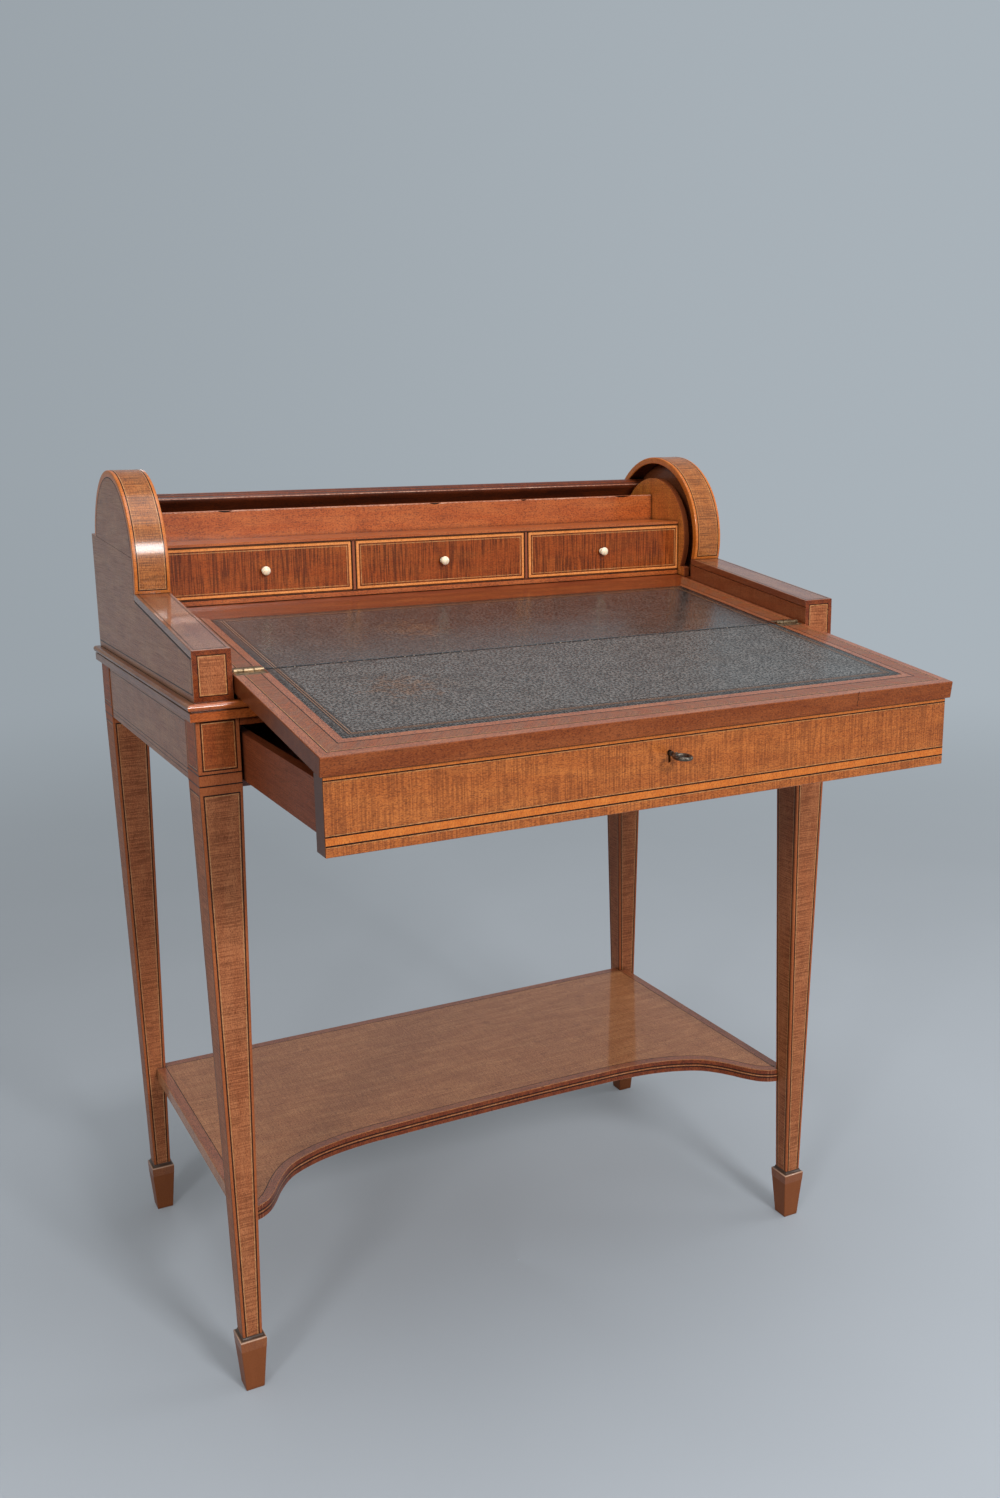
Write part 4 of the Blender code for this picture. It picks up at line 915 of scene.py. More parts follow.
class BUREAU_OT_hoods(bpy.types.Operator):
    """Bends the two hood rims and lays their panel and lines round the curve"""

    bl_idname = "bureau.hoods"
    bl_label = "Hood rims"

    def execute(self, context):
        sizes = context.scene.bureau_sizes
        parts = defaultdict(list)
        for side, sign in SIDES:
            name = f"hood_rim_{side}"
            radius, angle = polar(name)
            angle = np.where(angle > 0.75 * TAU, angle - TAU, angle)
            outer, inner = radius.max(), radius.min()
            outside = radius > outer - 0.8 * MM
            starts, ends = ([pick(angle[~outside]), pick(angle[outside])] for pick in (np.min, np.max))
            low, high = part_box(name)
            eased = 1.0 * MM
            loop = rounded(outer - inner, high.x - low.x, eased)
            r, x = loop[:, 0] + (outer + inner) / 2, loop[:, 1] + (high.x + low.x) / 2
            first, last = (np.interp(r, (inner, outer), pair) for pair in (starts, ends))
            bent = carried(round_axis(x, r, line(first, last, 72)))
            piece(f"bent_rim_{side}", [bent], "satinwood_crossband", "carcass", "satinwood_banded",
                  replaces=(name,), smooth=45)
            corners = rectangle((low.x, high.x), (outer * starts[1], outer * ends[1]))
            inlay(parts, on_arc(outer, 1), corners, sizes.hood, ARC_STEP)
            # The hollow side of the rim carries painted shade, a dark tape inside the hood
            sweep = np.linspace(starts[0], ends[0], 60)
            edges = (pairs(x, sweep * inner) for x in (low.x + MM, high.x - MM))
            parts["grimed"].append(strip(on_arc(inner, -1), *edges, PANEL_RISE))
            # A fine dark line covers the joint between the rim and the cheek
            edges = (round_axis(0.0, inner + by, sweep)[:, 1:] * (sign, 1) for by in (-0.3 * MM, 0.5 * MM))
            parts["ebony"].append(strip(side_face(name, sign), *edges, LINE_RISE))
        lay("hood", "carcass", parts, "fiddleback_tape")
        return {"FINISHED"}


class BUREAU_OT_arms(bpy.types.Operator):
    """Lays the panels of the two arm fronts and the lines of the arm sides, tops and side rails"""

    bl_idname = "bureau.arms"
    bl_label = "Arm inlay"

    def execute(self, context):
        sizes = context.scene.bureau_sizes
        parts = defaultdict(list)
        for side, sign in SIDES:
            panel, cap, rail = f"end_panel_{side}", f"arm_cap_{side}", f"side_rail_{side}"
            low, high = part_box(panel)
            cap_low, cap_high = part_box(cap)
            middle, normal = facing(cap, UP)
            slope = -normal[1] / normal[2]
            top_front = middle[2] + (low.y - middle[1]) * slope
            corners = rectangle((low.x, high.x), (low.z, top_front))
            front = front_face(panel)
            parts["mahogany"].append(ring(front, corners, 0.3 * MM, sizes.arm_front[0]))
            inlay(parts, front, corners, sizes.arm_front)
            # Lines on the side: under the slope of the cap, down the front and along the foot
            near, cap_end, back = low.y + 3 * MM, cap_high.y - 4 * MM, high.y - 3 * MM
            foot, under_cap = low.z + 6 * MM, 9 * MM
            heads = [top_front + (y - low.y) * slope - under_cap for y in (near, cap_end)]
            turned_round = np.array((sign, 1))
            for start, end, wide in (((near, heads[0]), (cap_end, heads[1]), (0, sizes.line)),
                                     ((near, foot), (near, heads[0]), (sizes.line, 0)),
                                     ((near, foot), (back, foot), (0, sizes.line))):
                placed = (turned_round * at for at in (start, end, wide))
                tape(parts, "ebony", side_face(panel, sign), *placed)
            # Fine lines along the side rail: two near its foot and one under the moulding
            rail_low, rail_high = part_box(rail)
            start, end = sorted((sign * (rail_low.y + MM), sign * (rail_high.y - MM)))
            for z in (rail_low.z + 5 * MM, rail_low.z + 9 * MM, MOULDING_FOOT - 7 * MM):
                tape(parts, "ebony", side_face(rail, sign), (start, z), (end, z), (0, sizes.rail_line))
            # A line runs round the top of the cap
            across = np.cross(normal, RIGHT)
            reach = (cap_high.y - cap_low.y) / across[1] / 2
            half = (cap_high.x - cap_low.x) / 2
            shift = (cap_low.y + cap_high.y) / 2 - middle[1]
            corners = rectangle((-half, half), (shift - reach, shift + reach))
            parts["ebony"].append(ring(on_plane(middle, RIGHT, across), corners, 3.0 * MM, 3.7 * MM))
        lay("arm", "carcass", parts, "fiddleback_upright")
        return {"FINISHED"}


class BUREAU_OT_cylinder(bpy.types.Operator):
    """Bends the cylinder, a curved shell with a round nose along its leading edge"""

    bl_idname = "bureau.cylinder"
    bl_label = "Cylinder"

    def execute(self, context):
        radius, angle = polar("cylinder_shell")
        outer, inner = radius.max(), radius.min()
        low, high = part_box("cylinder_shell")
        middle, half = (outer + inner) / 2, (outer - inner) / 2
        start, end = angle.min() + half / middle, angle.max()
        count = 60
        sweep = np.linspace(start, end, count)
        nose = np.linspace(-TAU / 4, -3 * TAU / 4, 15)
        # The nose is a half circle in (arc length, radius) about the middle of the edge
        around = start + half * np.cos(nose) / middle
        turns = np.concatenate([around, sweep[1:], [end - MM / outer], sweep[::-1][:-1]])
        radii = np.concatenate([middle + half * np.sin(nose), np.full(count - 1, outer), [middle],
                                np.full(count - 1, inner)])
        x = np.linspace(low.x, high.x, 24)[:, None]
        piece("rolled_cylinder", [carried(round_axis(x, radii[None], turns[None]))],
              "grimed_mahogany", "cylinder", "mahogany", replaces=("cylinder_shell",), smooth=40)

        def on_nose(uv, h):
            return round_axis(uv[..., 0], middle + (half + h[..., 0]) * np.sin(uv[..., 1]),
                              start + (half + h[..., 0]) * np.cos(uv[..., 1]) / middle)

        # A pale tape along the nose is a painted highlight, and the wood over it keeps its mahogany colour,
        # while the cylinder below carries painted shade. Each tape lies between two turns of the nose, in
        # radians
        parts = defaultdict(list)
        for kind, turn in (("worn", (-2.60, -2.46)), ("mahogany", (-4.6, -4.1, -3.6, -3.1, -2.60))):
            for near, far in zip(turn, turn[1:]):
                left, right = (line((low.x + MM, t), (high.x - MM, t), 30) for t in (near, far))
                parts[kind].append(strip(on_nose, left, right, LINE_RISE))
        lay("nose", "cylinder", parts)
        return {"FINISHED"}


def leather_sheet(at, half_width, depth):
    """Leather laid in its recess: a flat sheet whose edges roll down, gently uneven where it has stretched.

    With r the root of the distance to the edge in millimetres, at most one, the height over (u, v) is a
    quarter of a millimetre times r - 0.6, plus r times the product of two slow sine waves, of less than a
    tenth of a millimetre.
    """
    roll = 0.4 * MM
    u = np.append(np.linspace(-half_width, half_width, 190), [-half_width + roll, half_width - roll])
    v = np.append(np.linspace(0, depth, 70), [roll, depth - roll])
    grid = np.stack(np.meshgrid(np.sort(u), np.sort(v), indexing="ij"), -1)
    u, v = grid[..., 0], grid[..., 1]
    edge = np.minimum(half_width - np.abs(u), np.minimum(v, depth - v))
    rolled = np.sqrt(np.clip(edge / MM, 0, 1))
    uneven = np.sin(u * 37 + 2 * np.sin(v * 21)) * np.sin(v * 45 + 1)
    height = 0.25 * MM * (rolled - 0.6) + 0.08 * MM * uneven * rolled
    top = at(grid, height[..., None])
    under = grid[:, [-1, 0]]
    bottom = at(under, -0.9 * MM)
    return carried(np.concatenate([top, bottom], 1), uv=np.concatenate([grid, under], 1))


# Each leather: its name, its body, the way it runs from the hinge, its ground, the middle of its rubbed
# patch, its roughness and specular level, and the depth of its pebble. The bed's is darker and smoother,
# and shows more of the light behind it
LEATHERS = (("flap", "flap", -1, "leather", (0.185, 0.085), 0.26, 0.4, 0.7 * MM),
            ("bed", "carcass", 1, "leather_bed", (-0.1, 0.09), 0.12, 0.6, 0.25 * MM))
# Each tape of the border: its kind, the shares of the border's width that it lies between, and its rise
BORDER = (("plain", 0.03, 0.27, PANEL_RISE), ("ebony", 0.27, 0.30, LINE_RISE),
          ("boxwood", 0.30, 0.315, LINE_RISE), ("tulipwood", 0.315, 0.74, PANEL_RISE),
          ("ebony", 0.74, 0.77, LINE_RISE), ("plain", 0.77, 0.985, PANEL_RISE))


class BUREAU_OT_writing_surface(bpy.types.Operator):
    """Lays the two leathers and the crossbanded borders of the bed and the flap"""

    bl_idname = "bureau.writing_surface"
    bl_label = "Writing surface"

    def execute(self, context):
        for name, body, way, ground, patch, gloss, specular, pebble in LEATHERS:
            solid, board, material = f"{name}_leather", f"writing_{name}", f"tooled_leather_{name}"
            middle, normal = facing(solid, UP)
            middle = middle + LEATHER_LIFT * normal
            along = way * RIGHT
            across = np.cross(normal, along)
            low, high = span(solid)
            near_y, far_y = (high[1], low[1]) if way < 0 else (low[1], high[1])
            origin = middle + across * (near_y - middle[1]) / across[1]
            origin[0] = 0.0
            at = on_plane(origin, along, across)
            half, depth = high[0], (far_y - near_y) / across[1]
            tooled_leather(material, ground, half, depth, patch, gloss, specular, pebble)
            hide = piece(f"{name}_hide", [leather_sheet(at, half, depth)], material, body, "leather",
                         replaces=(solid,), smooth=60)
            # The flap's border ends at the edges of its board, the bed's at the nest and at the arms
            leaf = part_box(f"{name}_hinge_left")[0 if way < 0 else 1].y
            edge_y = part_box(board)[0].y if way < 0 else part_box("nest_end_left")[0].y + 4 * MM
            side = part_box(board)[1].x if way < 0 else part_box("end_panel_right")[0].x
            start, reach = ((y - near_y) / across[1] for y in (leaf, edge_y))
            parts = self.border(at, way, (half, depth), (side, reach), start + 0.4 * MM)
            if way < 0:
                parts["ebony"].append(self.crack(board))
            lay(f"{name}_border", body, parts)
        return {"FINISHED"}

    def border(self, at, way, inner, outer, start):
        """Tapes round the leather, each between two lines at a share of the way from the outer edge in.

        The flap's run up one side, along the far edge and down the other, the bed's only along its sides.
        """
        def path(share):
            w, d = (edge + (end - edge) * (1 - share) for edge, end in zip(inner, outer))
            return np.array([(-w, start), (-w, d), (w, d), (w, start)])

        parts = defaultdict(list)
        runs = (slice(4),) if way < 0 else (slice(2), slice(2, 4))
        for kind, near, far, rise in BORDER:
            parts[kind] += [strip(at, path(near)[run], path(far)[run], rise) for run in runs]
        return parts

    def crack(self, board):
        """A fine wavering crack down the front edge of the flap, where the board has opened."""
        middle, normal = facing(board, (0, -1, 0))
        face = on_plane((0, *middle[1:]), RIGHT, np.cross(normal, RIGHT))
        place, wide = 201 * MM, 0.45 * MM
        fall = np.linspace(-5.0, 9.0, 8) * MM
        edge = pairs(place + 0.5 * MM * np.sin(fall * 900), fall)
        return strip(face, edge, edge + (wide, 0), LINE_RISE)


class BUREAU_OT_hinge_screws(bpy.types.Operator):
    """Sets three slotted screws in each leaf of the two flap hinges"""

    bl_idname = "bureau.hinge_screws"
    bl_label = "Hinge screws"

    def execute(self, context):
        radius = context.scene.bureau_sizes.screw / 2
        pitch, off_middle = 9 * MM, 0.4 * MM
        r = np.append(np.linspace(0, radius, 9), radius)
        angle = np.linspace(0, TAU, 40, endpoint=False)[:, None]
        flat = np.stack([r * np.cos(angle), r * np.sin(angle)], -1)
        for leaf, body, inwards in (("bed_hinge", "carcass", 1), ("flap_hinge", "flap", -1)):
            parts = []
            for side, _ in SIDES:
                middle, normal = facing(f"{leaf}_{side}", UP)
                across = np.cross(normal, RIGHT)
                for place, turn in ((-1, 0.4), (0, 1.3), (1, 2.2)):
                    centre = middle + place * pitch * RIGHT + across * inwards * off_middle
                    # A low dome, cut by a slot where the distance to a line through its middle is small
                    slot = np.abs(r * np.sin(angle - turn)) < 0.28 * MM
                    height = np.where(slot, -0.05 * MM, 0.16 * MM - 0.08 * MM * (r / radius) ** 2)
                    height[:, -1] = -0.4 * MM
                    points = on_plane(centre, RIGHT, across)(flat, height[..., None])
                    parts.append(carried(points, closed=True, around=False))
            piece(f"{leaf}_screws", parts, "old_brass", body, "brass", smooth=25)
        return {"FINISHED"}


class BUREAU_OT_small_drawers(bpy.types.Operator):
    """Lays the panels and lines of the three small drawers and turns their knobs"""

    bl_idname = "bureau.small_drawers"
    bl_label = "Small drawers"

    def execute(self, context):
        # The knob below its cap, in shares of its radius and its reach: neck, rose and stem in the wood
        lower = np.array([(0.46, 0.70), (0.42, 0.78), (0.46, 0.86), (0.62, 0.90), (0.70, 0.95),
                          (0.66, 0.995), (0.40, 0.995), (0.40, 1.3), (0.0, 1.3)])
        turn = np.linspace(0, 0.80 * math.pi, 16)
        cap = pairs(np.sin(turn), 0.33 * (1 - np.cos(turn)))
        profile = np.concatenate([cap, lower])
        for bay in BAYS:
            body, front, knob = f"small_drawer_{bay}", f"small_front_{bay}", f"small_knob_{bay}"
            low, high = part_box(front)
            parts = defaultdict(list)
            corners = rectangle((low.x, high.x), (low.z, high.z))
            inlay(parts, front_face(front), corners, context.scene.bureau_sizes.small_drawer)
            lay(body, body, parts, "dark_fiddleback")
            tip, back = span(knob)
            radius, reach = (back[0] - tip[0]) / 2, low.y - tip[1]
            centre = ((tip[0] + back[0]) / 2, tip[1], (tip[2] + back[2]) / 2)
            spun = turned(profile * (radius, reach), centre, (0, 1, 0))
            piece(f"bone_knob_{bay}", [spun], "turned_bone", body, "bone", replaces=(knob,), smooth=50)
        return {"FINISHED"}


class BUREAU_OT_gallery(bpy.types.Operator):
    """Rubs the top edge of the gallery pale, as wear and a painted highlight, chips it, and paints shade
    into the gaps round the small drawers
    """

    bl_idname = "bureau.gallery"
    bl_label = "Gallery edge"

    def execute(self, context):
        wide = context.scene.bureau_sizes.line
        low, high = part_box("nest_back")
        face = front_face("nest_back")
        parts = defaultdict(list)
        # The pale tape along the top edge is rubbed wood and also a painted highlight
        x = np.linspace(low.x + MM, high.x - MM, 160)
        waver = 0.25 * MM * np.sin(x * 61) * np.sin(x * 143 + 1)
        foot, head = pairs(x, high.z - 1.3 * MM + waver), pairs(x, high.z - 0.3 * MM)
        parts["worn"].append(strip(face, foot, head, PANEL_RISE))
        # A chip is a short dark tape whose depth follows half a sine: its ends and its depth in millimetres
        for start, end, deep in ((-238, -222, 2.0), (12, 26, 1.8), (131, 139, 1.4), (262, 285, 1.7)):
            x = np.linspace(start * MM, end * MM, 9)
            fall = deep * MM * np.sin(np.linspace(0.15, math.pi - 0.15, 9))
            foot, head = pairs(x, high.z - 0.2 * MM - fall), pairs(x, high.z - 0.2 * MM)
            parts["ebony"].append(strip(face, foot, head, LINE_RISE))
        # Dark tapes in the gaps round the small drawers, beside the dividers and along the shelf's and
        # floor's fronts, are painted shade
        for name in ("nest_divider_left", "nest_divider_right"):
            low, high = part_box(name)
            for x in (low.x + 0.1 * MM, high.x - wide):
                start, end = (x, low.z), (x, high.z)
                tape(parts, "ebony", front_face(name), start, end, (wide - 0.1 * MM, 0), rise=PANEL_RISE)
        for name, foot in (("nest_shelf", 0.2 * MM), ("nest_floor", 4.7 * MM)):
            low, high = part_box(name)
            start, end = (low.x, low.z), (high.x, low.z)
            tape(parts, "ebony", front_face(name), start, end, (0, foot + wide), (0, foot), PANEL_RISE)
        lay("gallery", "carcass", parts)
        return {"FINISHED"}


class BUREAU_OT_frieze_drawer(bpy.types.Operator):
    """Lays the bands of the frieze drawer and makes its key"""

    bl_idname = "bureau.frieze_drawer"
    bl_label = "Frieze drawer"

    def execute(self, context):
        low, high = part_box("drawer_front")
        start, end = low.x + 0.5 * MM, high.x - 0.5 * MM
        parts = defaultdict(list)
        # Each band: its kind, the edge of the front it is set from, and its foot and head in millimetres
        bands = (("satinwood", high.z, -3.2, -0.6), ("ebony", high.z, -4.2, -3.2),
                 ("boxwood", high.z, -5.0, -4.6), ("boxwood", low.z, 17.4, 17.8),
                 ("ebony", low.z, 15.9, 17.0), ("satinwood", low.z, 9.7, 15.9),
                 ("ebony", low.z, 8.5, 9.7), ("boxwood", low.z, 7.7, 8.1))
        face = front_face("drawer_front")
        for kind, z, foot, head in bands:
            tape(parts, kind, face, (start, z), (end, z), (0, head * MM), (0, foot * MM))
        lay("drawer", "frieze_drawer", parts)
        self.key(context.scene.bureau_sizes.bow)
        return {"FINISHED"}

    def key(self, bow):
        """A round shank with a collar, turned about the lock's axis, and an oval bow of wire."""
        axis = joint("key_turn")
        tip, root = span("key")
        # The bow's wire is slimmer than that of its solid
        wire = (root[2] - tip[2]) / 2 * 0.62
        half_wide, half_long = (root[0] - tip[0]) / 2 - wire, bow / 2 - wire
        # The shank is pushed home, so the bow stands nearer the drawer than the solid's own end
        pushed = 5 * MM
        centre = np.array((axis[0], tip[1] + pushed + wire + half_long, axis[2]))
        angle = np.linspace(0, TAU, 40, endpoint=False)[:, None]
        oval = centre + np.concatenate([half_wide * np.cos(angle), half_long * np.sin(angle), 0 * angle], 1)
        neck = centre[1] + half_long
        # Radius and distance from the bow, in millimetres
        shank = np.array([(0.0, -0.6), (1.6, -0.6), (2.4, 0.3), (2.4, 1.6), (1.7, 2.4), (1.5, 6.0),
                          (1.9, 6.6), (2.3, 7.4), (1.9, 8.2), (1.8, 9.0)]) * MM
        shank = np.concatenate([shank, [(1.8 * MM, root[1] - neck), (0.0, root[1] - neck)]])
        parts = [wire_ring(oval, wire), turned(shank, (axis[0], neck, axis[2]), (0, 1, 0), 24)]
        piece("drawer_key", parts, "forged_steel", "key", "iron", replaces=("key",), smooth=40)


def shelf_front():
    """The hollowed front of the undershelf, read from its solid: the least y at each x, evenly spaced."""
    points = vertices("undershelf")
    low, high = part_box("undershelf")
    upright = (points[:, 2] > low.z + 0.3 * MM) & (points[:, 2] < high.z - 0.3 * MM)
    between = np.abs(points[:, 0]) < SHELF_NOTCH - 0.4 * MM
    # The rear edge lies far behind this depth, and the hollow before it
    points = points[upright & between & (points[:, 1] < 60 * MM)]
    x = np.round(points[:, 0], 4)
    order = np.lexsort((points[:, 1], x))
    first = np.append(True, np.diff(x[order]) > 0)
    curve = points[order][first][:, :2]
    run = np.append(0, np.cumsum(np.linalg.norm(np.diff(curve, axis=0), axis=1)))
    at = np.linspace(0, run[-1], 220)
    return np.stack([np.interp(at, run, curve[:, k]) for k in (0, 1)], 1)


class BUREAU_OT_undershelf(bpy.types.Operator):
    """Bands the undershelf and faces and lines its hollowed front edge"""

    bl_idname = "bureau.undershelf"
    bl_label = "Undershelf"

    def execute(self, context):
        sizes = context.scene.bureau_sizes
        low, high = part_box("undershelf")
        top = on_plane((0, 0, high.z), RIGHT, (0, 1, 0))
        front = shelf_front()
        ahead = np.gradient(front, axis=0)
        ahead /= np.linalg.norm(ahead, axis=1, keepdims=True)
        inward = np.stack([-ahead[:, 1], ahead[:, 0]], 1)
        parts = defaultdict(list)
        band = sizes.shelf_band
        eased = 0.6 * MM
        side, rear = high.x - eased, high.y - eased
        side_front, side_back = low.y + 8 * MM, high.y - 12 * MM
        # A plain band and a dark line run round the top: along the hollow, both sides and the rear
        for kind, near, far, rise in (("plain", 0, band, PANEL_RISE),
                                      ("ebony", band, band + sizes.shelf_line, LINE_RISE)):
            parts[kind].append(strip(top, front + inward * max(near, eased), front + inward * far, rise))
            for sign in (-1, 1):
                tape(parts, kind, top, (sign * side, side_front), (sign * side, side_back), (-sign * far, 0),
                     (-sign * near, 0), rise)
            tape(parts, kind, top, (-SHELF_NOTCH, rear), (SHELF_NOTCH, rear), (0, -far), (0, -near), rise)

        def edge_at(zs, h):
            flat = np.broadcast_to(front - inward * h, (len(front), 2))
            return np.concatenate([flat, zs], 1)

        # The edge is faced with mahogany and carries two dark lines with a pale one between them. Each
        # tape: its kind, its foot and head in millimetres over the shelf's foot, and its rise
        for kind, foot, head, rise in (("mahogany", 0.6, 14.4, PANEL_RISE), ("ebony", 5.0, 6.2, LINE_RISE),
                                       ("boxwood", 7.2, 7.8, LINE_RISE), ("ebony", 8.8, 10.0, LINE_RISE)):
            left, right = (np.full((len(front), 1), low.z + z * MM) for z in (foot, head))
            parts[kind].append(strip(edge_at, left, right, rise))
        lay("shelf", "carcass", parts)
        return {"FINISHED"}


# Each light: its place, its side in metres and its power in watts. All look at the middle of the desk
LIGHTS = (("Front softbox", (0.3, -2.8, 1.95), 0.6, 62), ("Left softbox", (-2.5, -2.2, 1.9), 0.6, 32),
          ("Right softbox", (2.6, -0.6, 1.5), 1.2, 14), ("Ceiling light", (0.0, -0.6, 3.2), 2.0, 42),
          ("Back reflector", (0.02, 1.22, 1.14), 0.2, 0.35))
DESK_MIDDLE = Vector((0, 0, 0.6))


class BUREAU_OT_stage(bpy.types.Operator):
    """Sets the pale floor, the backdrop, five soft lights and the camera"""

    bl_idname = "bureau.stage"
    bl_label = "Stage"

    def execute(self, context):
        scene = context.scene
        scene.view_settings.view_transform = "Standard"
        self.floor(scene)
        self.backdrop(scene)
        for name, place, side, power in LIGHTS:
            lamp = bpy.data.lights.new(name, "AREA")
            lamp.shape = "SQUARE"
            lamp.size = side
            lamp.energy = power
            made = bpy.data.objects.new(name, lamp)
            made.visible_camera = False
            made.location = place
            made.rotation_euler = (DESK_MIDDLE - Vector(place)).to_track_quat("-Z", "Y").to_euler()
            scene.collection.objects.link(made)
        self.camera(scene)
        return {"FINISHED"}

    def seen(self, tree):
        """One where a ray comes from the camera, a mirror or glass, nought where it lights the object."""
        path = add(tree, "ShaderNodeLightPath").outputs
        shown = path["Is Camera Ray"]
        for kind in ("Is Glossy Ray", "Is Transmission Ray"):
            shown = add(tree, "ShaderNodeMath", {0: shown, 1: path[kind]}, operation="MAXIMUM").outputs[0]
        return shown

    def sweep(self, tree, way):
        """Brightness of the backdrop in a direction: a little darker on the left and paler on the right."""
        across = add(tree, "ShaderNodeSeparateXYZ", {0: way}).outputs["X"]
        inputs = {"Value": across, "From Min": 0.0, "From Max": 0.8, "To Min": 0.88, "To Max": 1.09}
        return add(tree, "ShaderNodeMapRange", inputs, interpolation_type="SMOOTHSTEP").outputs[0]

    def floor(self, scene):
        """A disc of studio paper in rings of growing radius, which fades into the backdrop far away."""
        radius = np.array((0.001, 0.5, 1, 2, 4, 8, 16, 40))[None, :, None]
        angle = np.linspace(0, TAU, 64, endpoint=False)[:, None, None]
        points = np.concatenate([radius * np.cos(angle), radius * np.sin(angle), 0 * radius * angle], -1)
        coords, (quads, _), _ = carried(points, closed=True, around=False)
        mesh = bpy.data.meshes.new("studio_floor")
        mesh.from_pydata(coords, [], quads.tolist())
        # Paper is matt and even, with a faint cloudiness about 0.3 m across
        tree, shader = blank("studio_paper")
        place = add(tree, "ShaderNodeTexCoord").outputs["Object"]
        cloud = add(tree, "ShaderNodeTexNoise", {"Vector": place, "Scale": 3.0, "Detail": 3.0})
        paint = hue("floor")
        darker = tuple(0.93 * c for c in paint[:3]) + (1.0,)
        inputs = {0: cloud.outputs["Fac"], 6: paint, 7: darker}
        mixed = add(tree, "ShaderNodeMix", inputs, data_type="RGBA").outputs[2]
        tree.links.new(mixed, shader.inputs["Base Color"])
        shader.inputs["Roughness"].default_value = 0.8
        away = add(tree, "ShaderNodeVectorMath", {0: place}, operation="LENGTH").outputs["Value"]
        inputs = {"Value": away, "From Min": 0.8, "From Max": 4.0, "To Min": 0.15}
        fade = add(tree, "ShaderNodeMapRange", inputs, interpolation_type="SMOOTHSTEP").outputs[0]
        amount = add(tree, "ShaderNodeMath", {0: fade, 1: self.seen(tree)}, operation="MULTIPLY").outputs[0]
        way = add(tree, "ShaderNodeVectorMath", {0: place}, operation="NORMALIZE").outputs[0]
        glow = add(tree, "ShaderNodeEmission", {"Color": hue("backdrop"), "Strength": self.sweep(tree, way)})
        both = add(tree, "ShaderNodeMixShader", {0: amount, 1: shader.outputs[0], 2: glow.outputs[0]})
        tree.links.new(both.outputs[0], tree.nodes["Material Output"].inputs["Surface"])
        mesh.materials.append(bpy.data.materials["studio_paper"])
        made = bpy.data.objects.new("studio_floor", mesh)
        scene.collection.objects.link(made)

    def backdrop(self, scene):
        """The room: its own pale colour where it is seen or mirrored, and a plain soft light elsewhere."""
        scene.world = bpy.data.worlds.new("studio")
        scene.world.use_nodes = True
        tree = scene.world.node_tree
        tree.nodes.clear()
        light = add(tree, "ShaderNodeBackground", {"Color": hue("light"), "Strength": 0.36})
        way = add(tree, "ShaderNodeTexCoord").outputs["Generated"]
        # What the polish mirrors from the left of the room is a warm grey
        across = add(tree, "ShaderNodeSeparateXYZ", {0: way}).outputs["X"]
        mirrored = add(tree, "ShaderNodeLightPath").outputs["Is Glossy Ray"]
        warm = wash(tree, hue("backdrop"), hue("mirrored"), across, 0.08, -0.3, 1.0)
        paint = wash(tree, hue("backdrop"), warm, mirrored, 0.0, 1.0, 1.0)
        shown = add(tree, "ShaderNodeBackground", {"Color": paint, "Strength": self.sweep(tree, way)})
        inputs = {0: self.seen(tree), 1: light.outputs[0], 2: shown.outputs[0]}
        both = add(tree, "ShaderNodeMixShader", inputs)
        add(tree, "ShaderNodeOutputWorld", {"Surface": both.outputs[0]})

    def camera(self, scene):
        """The viewpoint found from the desk's edges: place, turn, tilt, roll and a lens for a tall frame."""
        place = (-0.6434, -1.2622, 0.919)
        yaw, pitch, roll = -0.4632, -0.2204, -0.0161
        ahead = Vector((-math.sin(yaw) * math.cos(pitch), math.cos(yaw) * math.cos(pitch), math.sin(pitch)))
        right = Vector((math.cos(yaw), math.sin(yaw), 0))
        up = right.cross(ahead)
        rolled_right = math.cos(roll) * right + math.sin(roll) * up
        rolled_up = math.cos(roll) * up - math.sin(roll) * right
        lens = bpy.data.cameras.new("camera")
        lens.sensor_fit = "VERTICAL"
        lens.sensor_height = 36.0
        lens.lens = 33.13
        made = bpy.data.objects.new("camera", lens)
        made.matrix_world = Matrix((rolled_right, rolled_up, -ahead)).transposed().to_4x4()
        made.location = place
        scene.collection.objects.link(made)
        scene.camera = made


OPERATORS = (BUREAU_OT_stage, BUREAU_OT_finishes, BUREAU_OT_legs, BUREAU_OT_moulding, BUREAU_OT_hoods,
             BUREAU_OT_arms, BUREAU_OT_cylinder, BUREAU_OT_writing_surface, BUREAU_OT_hinge_screws,
             BUREAU_OT_small_drawers, BUREAU_OT_gallery, BUREAU_OT_frieze_drawer, BUREAU_OT_undershelf)


class VIEW3D_PT_bureau(bpy.types.Panel):
    """Lists the steps of the finish in the order they are run"""

    bl_label = "Cylinder bureau"
    bl_space_type = "VIEW_3D"
    bl_region_type = "UI"
    bl_category = "Bureau"

    def draw(self, context):
        for step in OPERATORS:
            self.layout.operator(step.bl_idname)


CLASSES = (BureauSizes, BureauColours, *OPERATORS, VIEW3D_PT_bureau)


def register():
    for found in CLASSES:
        bpy.utils.register_class(found)
    bpy.types.Scene.bureau_sizes = PointerProperty(type=BureauSizes)
    bpy.types.Scene.bureau_colours = PointerProperty(type=BureauColours)


def unregister():
    del bpy.types.Scene.bureau_sizes
    del bpy.types.Scene.bureau_colours
    for found in reversed(CLASSES):
        bpy.utils.unregister_class(found)


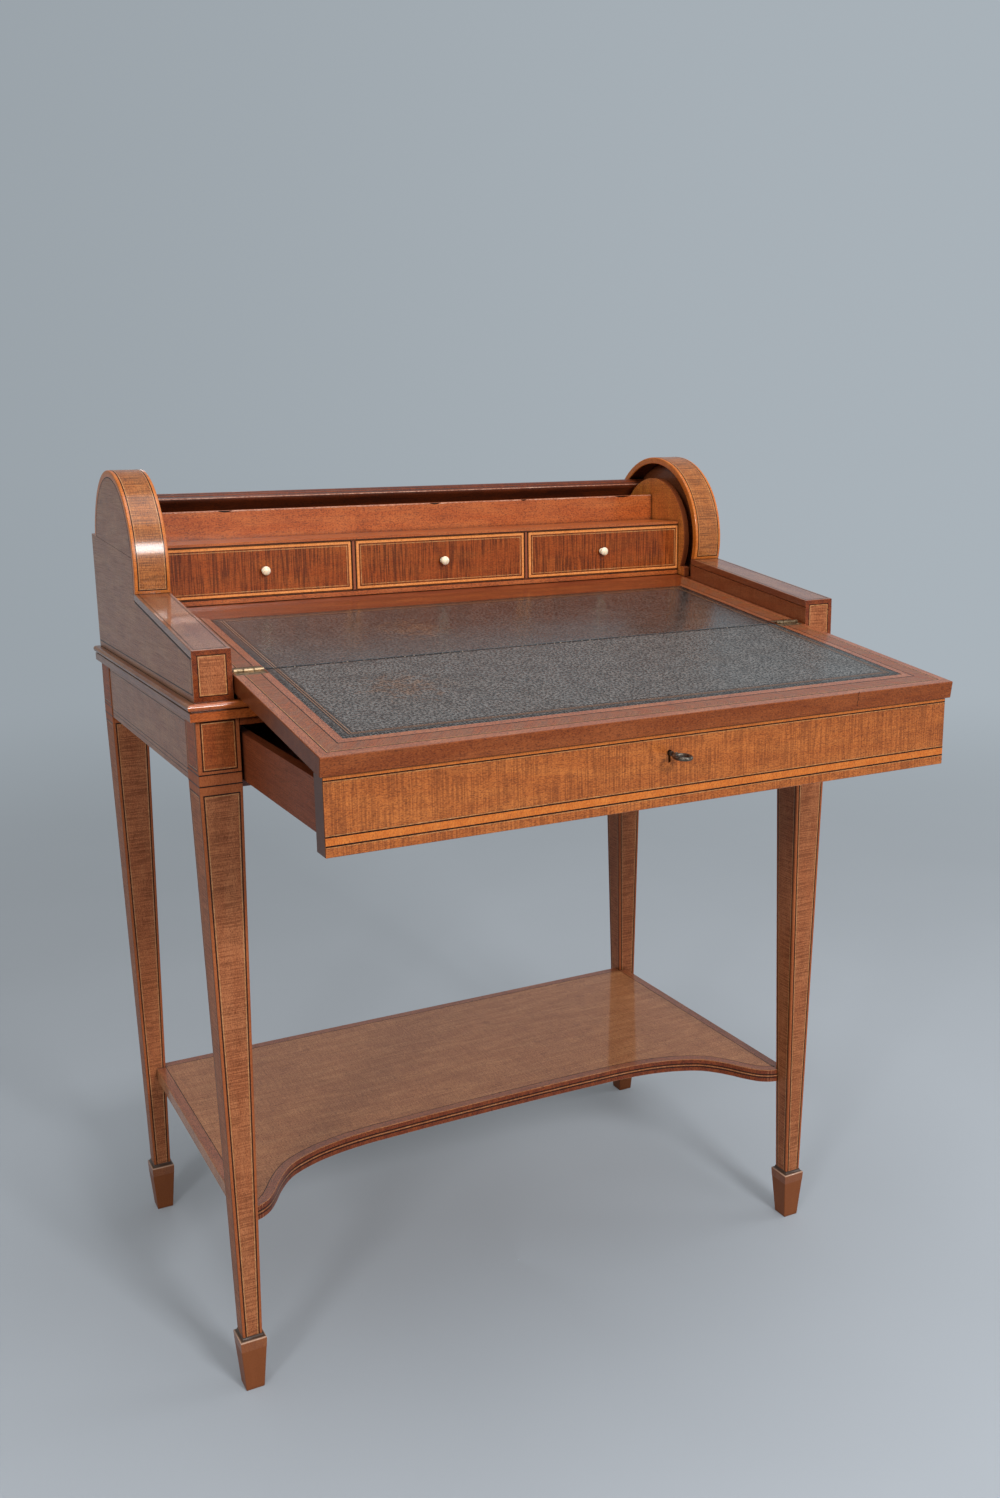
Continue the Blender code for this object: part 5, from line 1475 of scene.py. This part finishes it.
def main():
    register()
    bpy.ops.bureau.stage()
    bpy.ops.bureau.finishes()
    bpy.ops.bureau.legs()
    bpy.ops.bureau.moulding()
    bpy.ops.bureau.hoods()
    bpy.ops.bureau.arms()
    bpy.ops.bureau.cylinder()
    bpy.ops.bureau.writing_surface()
    bpy.ops.bureau.hinge_screws()
    bpy.ops.bureau.small_drawers()
    bpy.ops.bureau.gallery()
    bpy.ops.bureau.frieze_drawer()
    bpy.ops.bureau.undershelf()


if __name__ == "__main__":
    main()
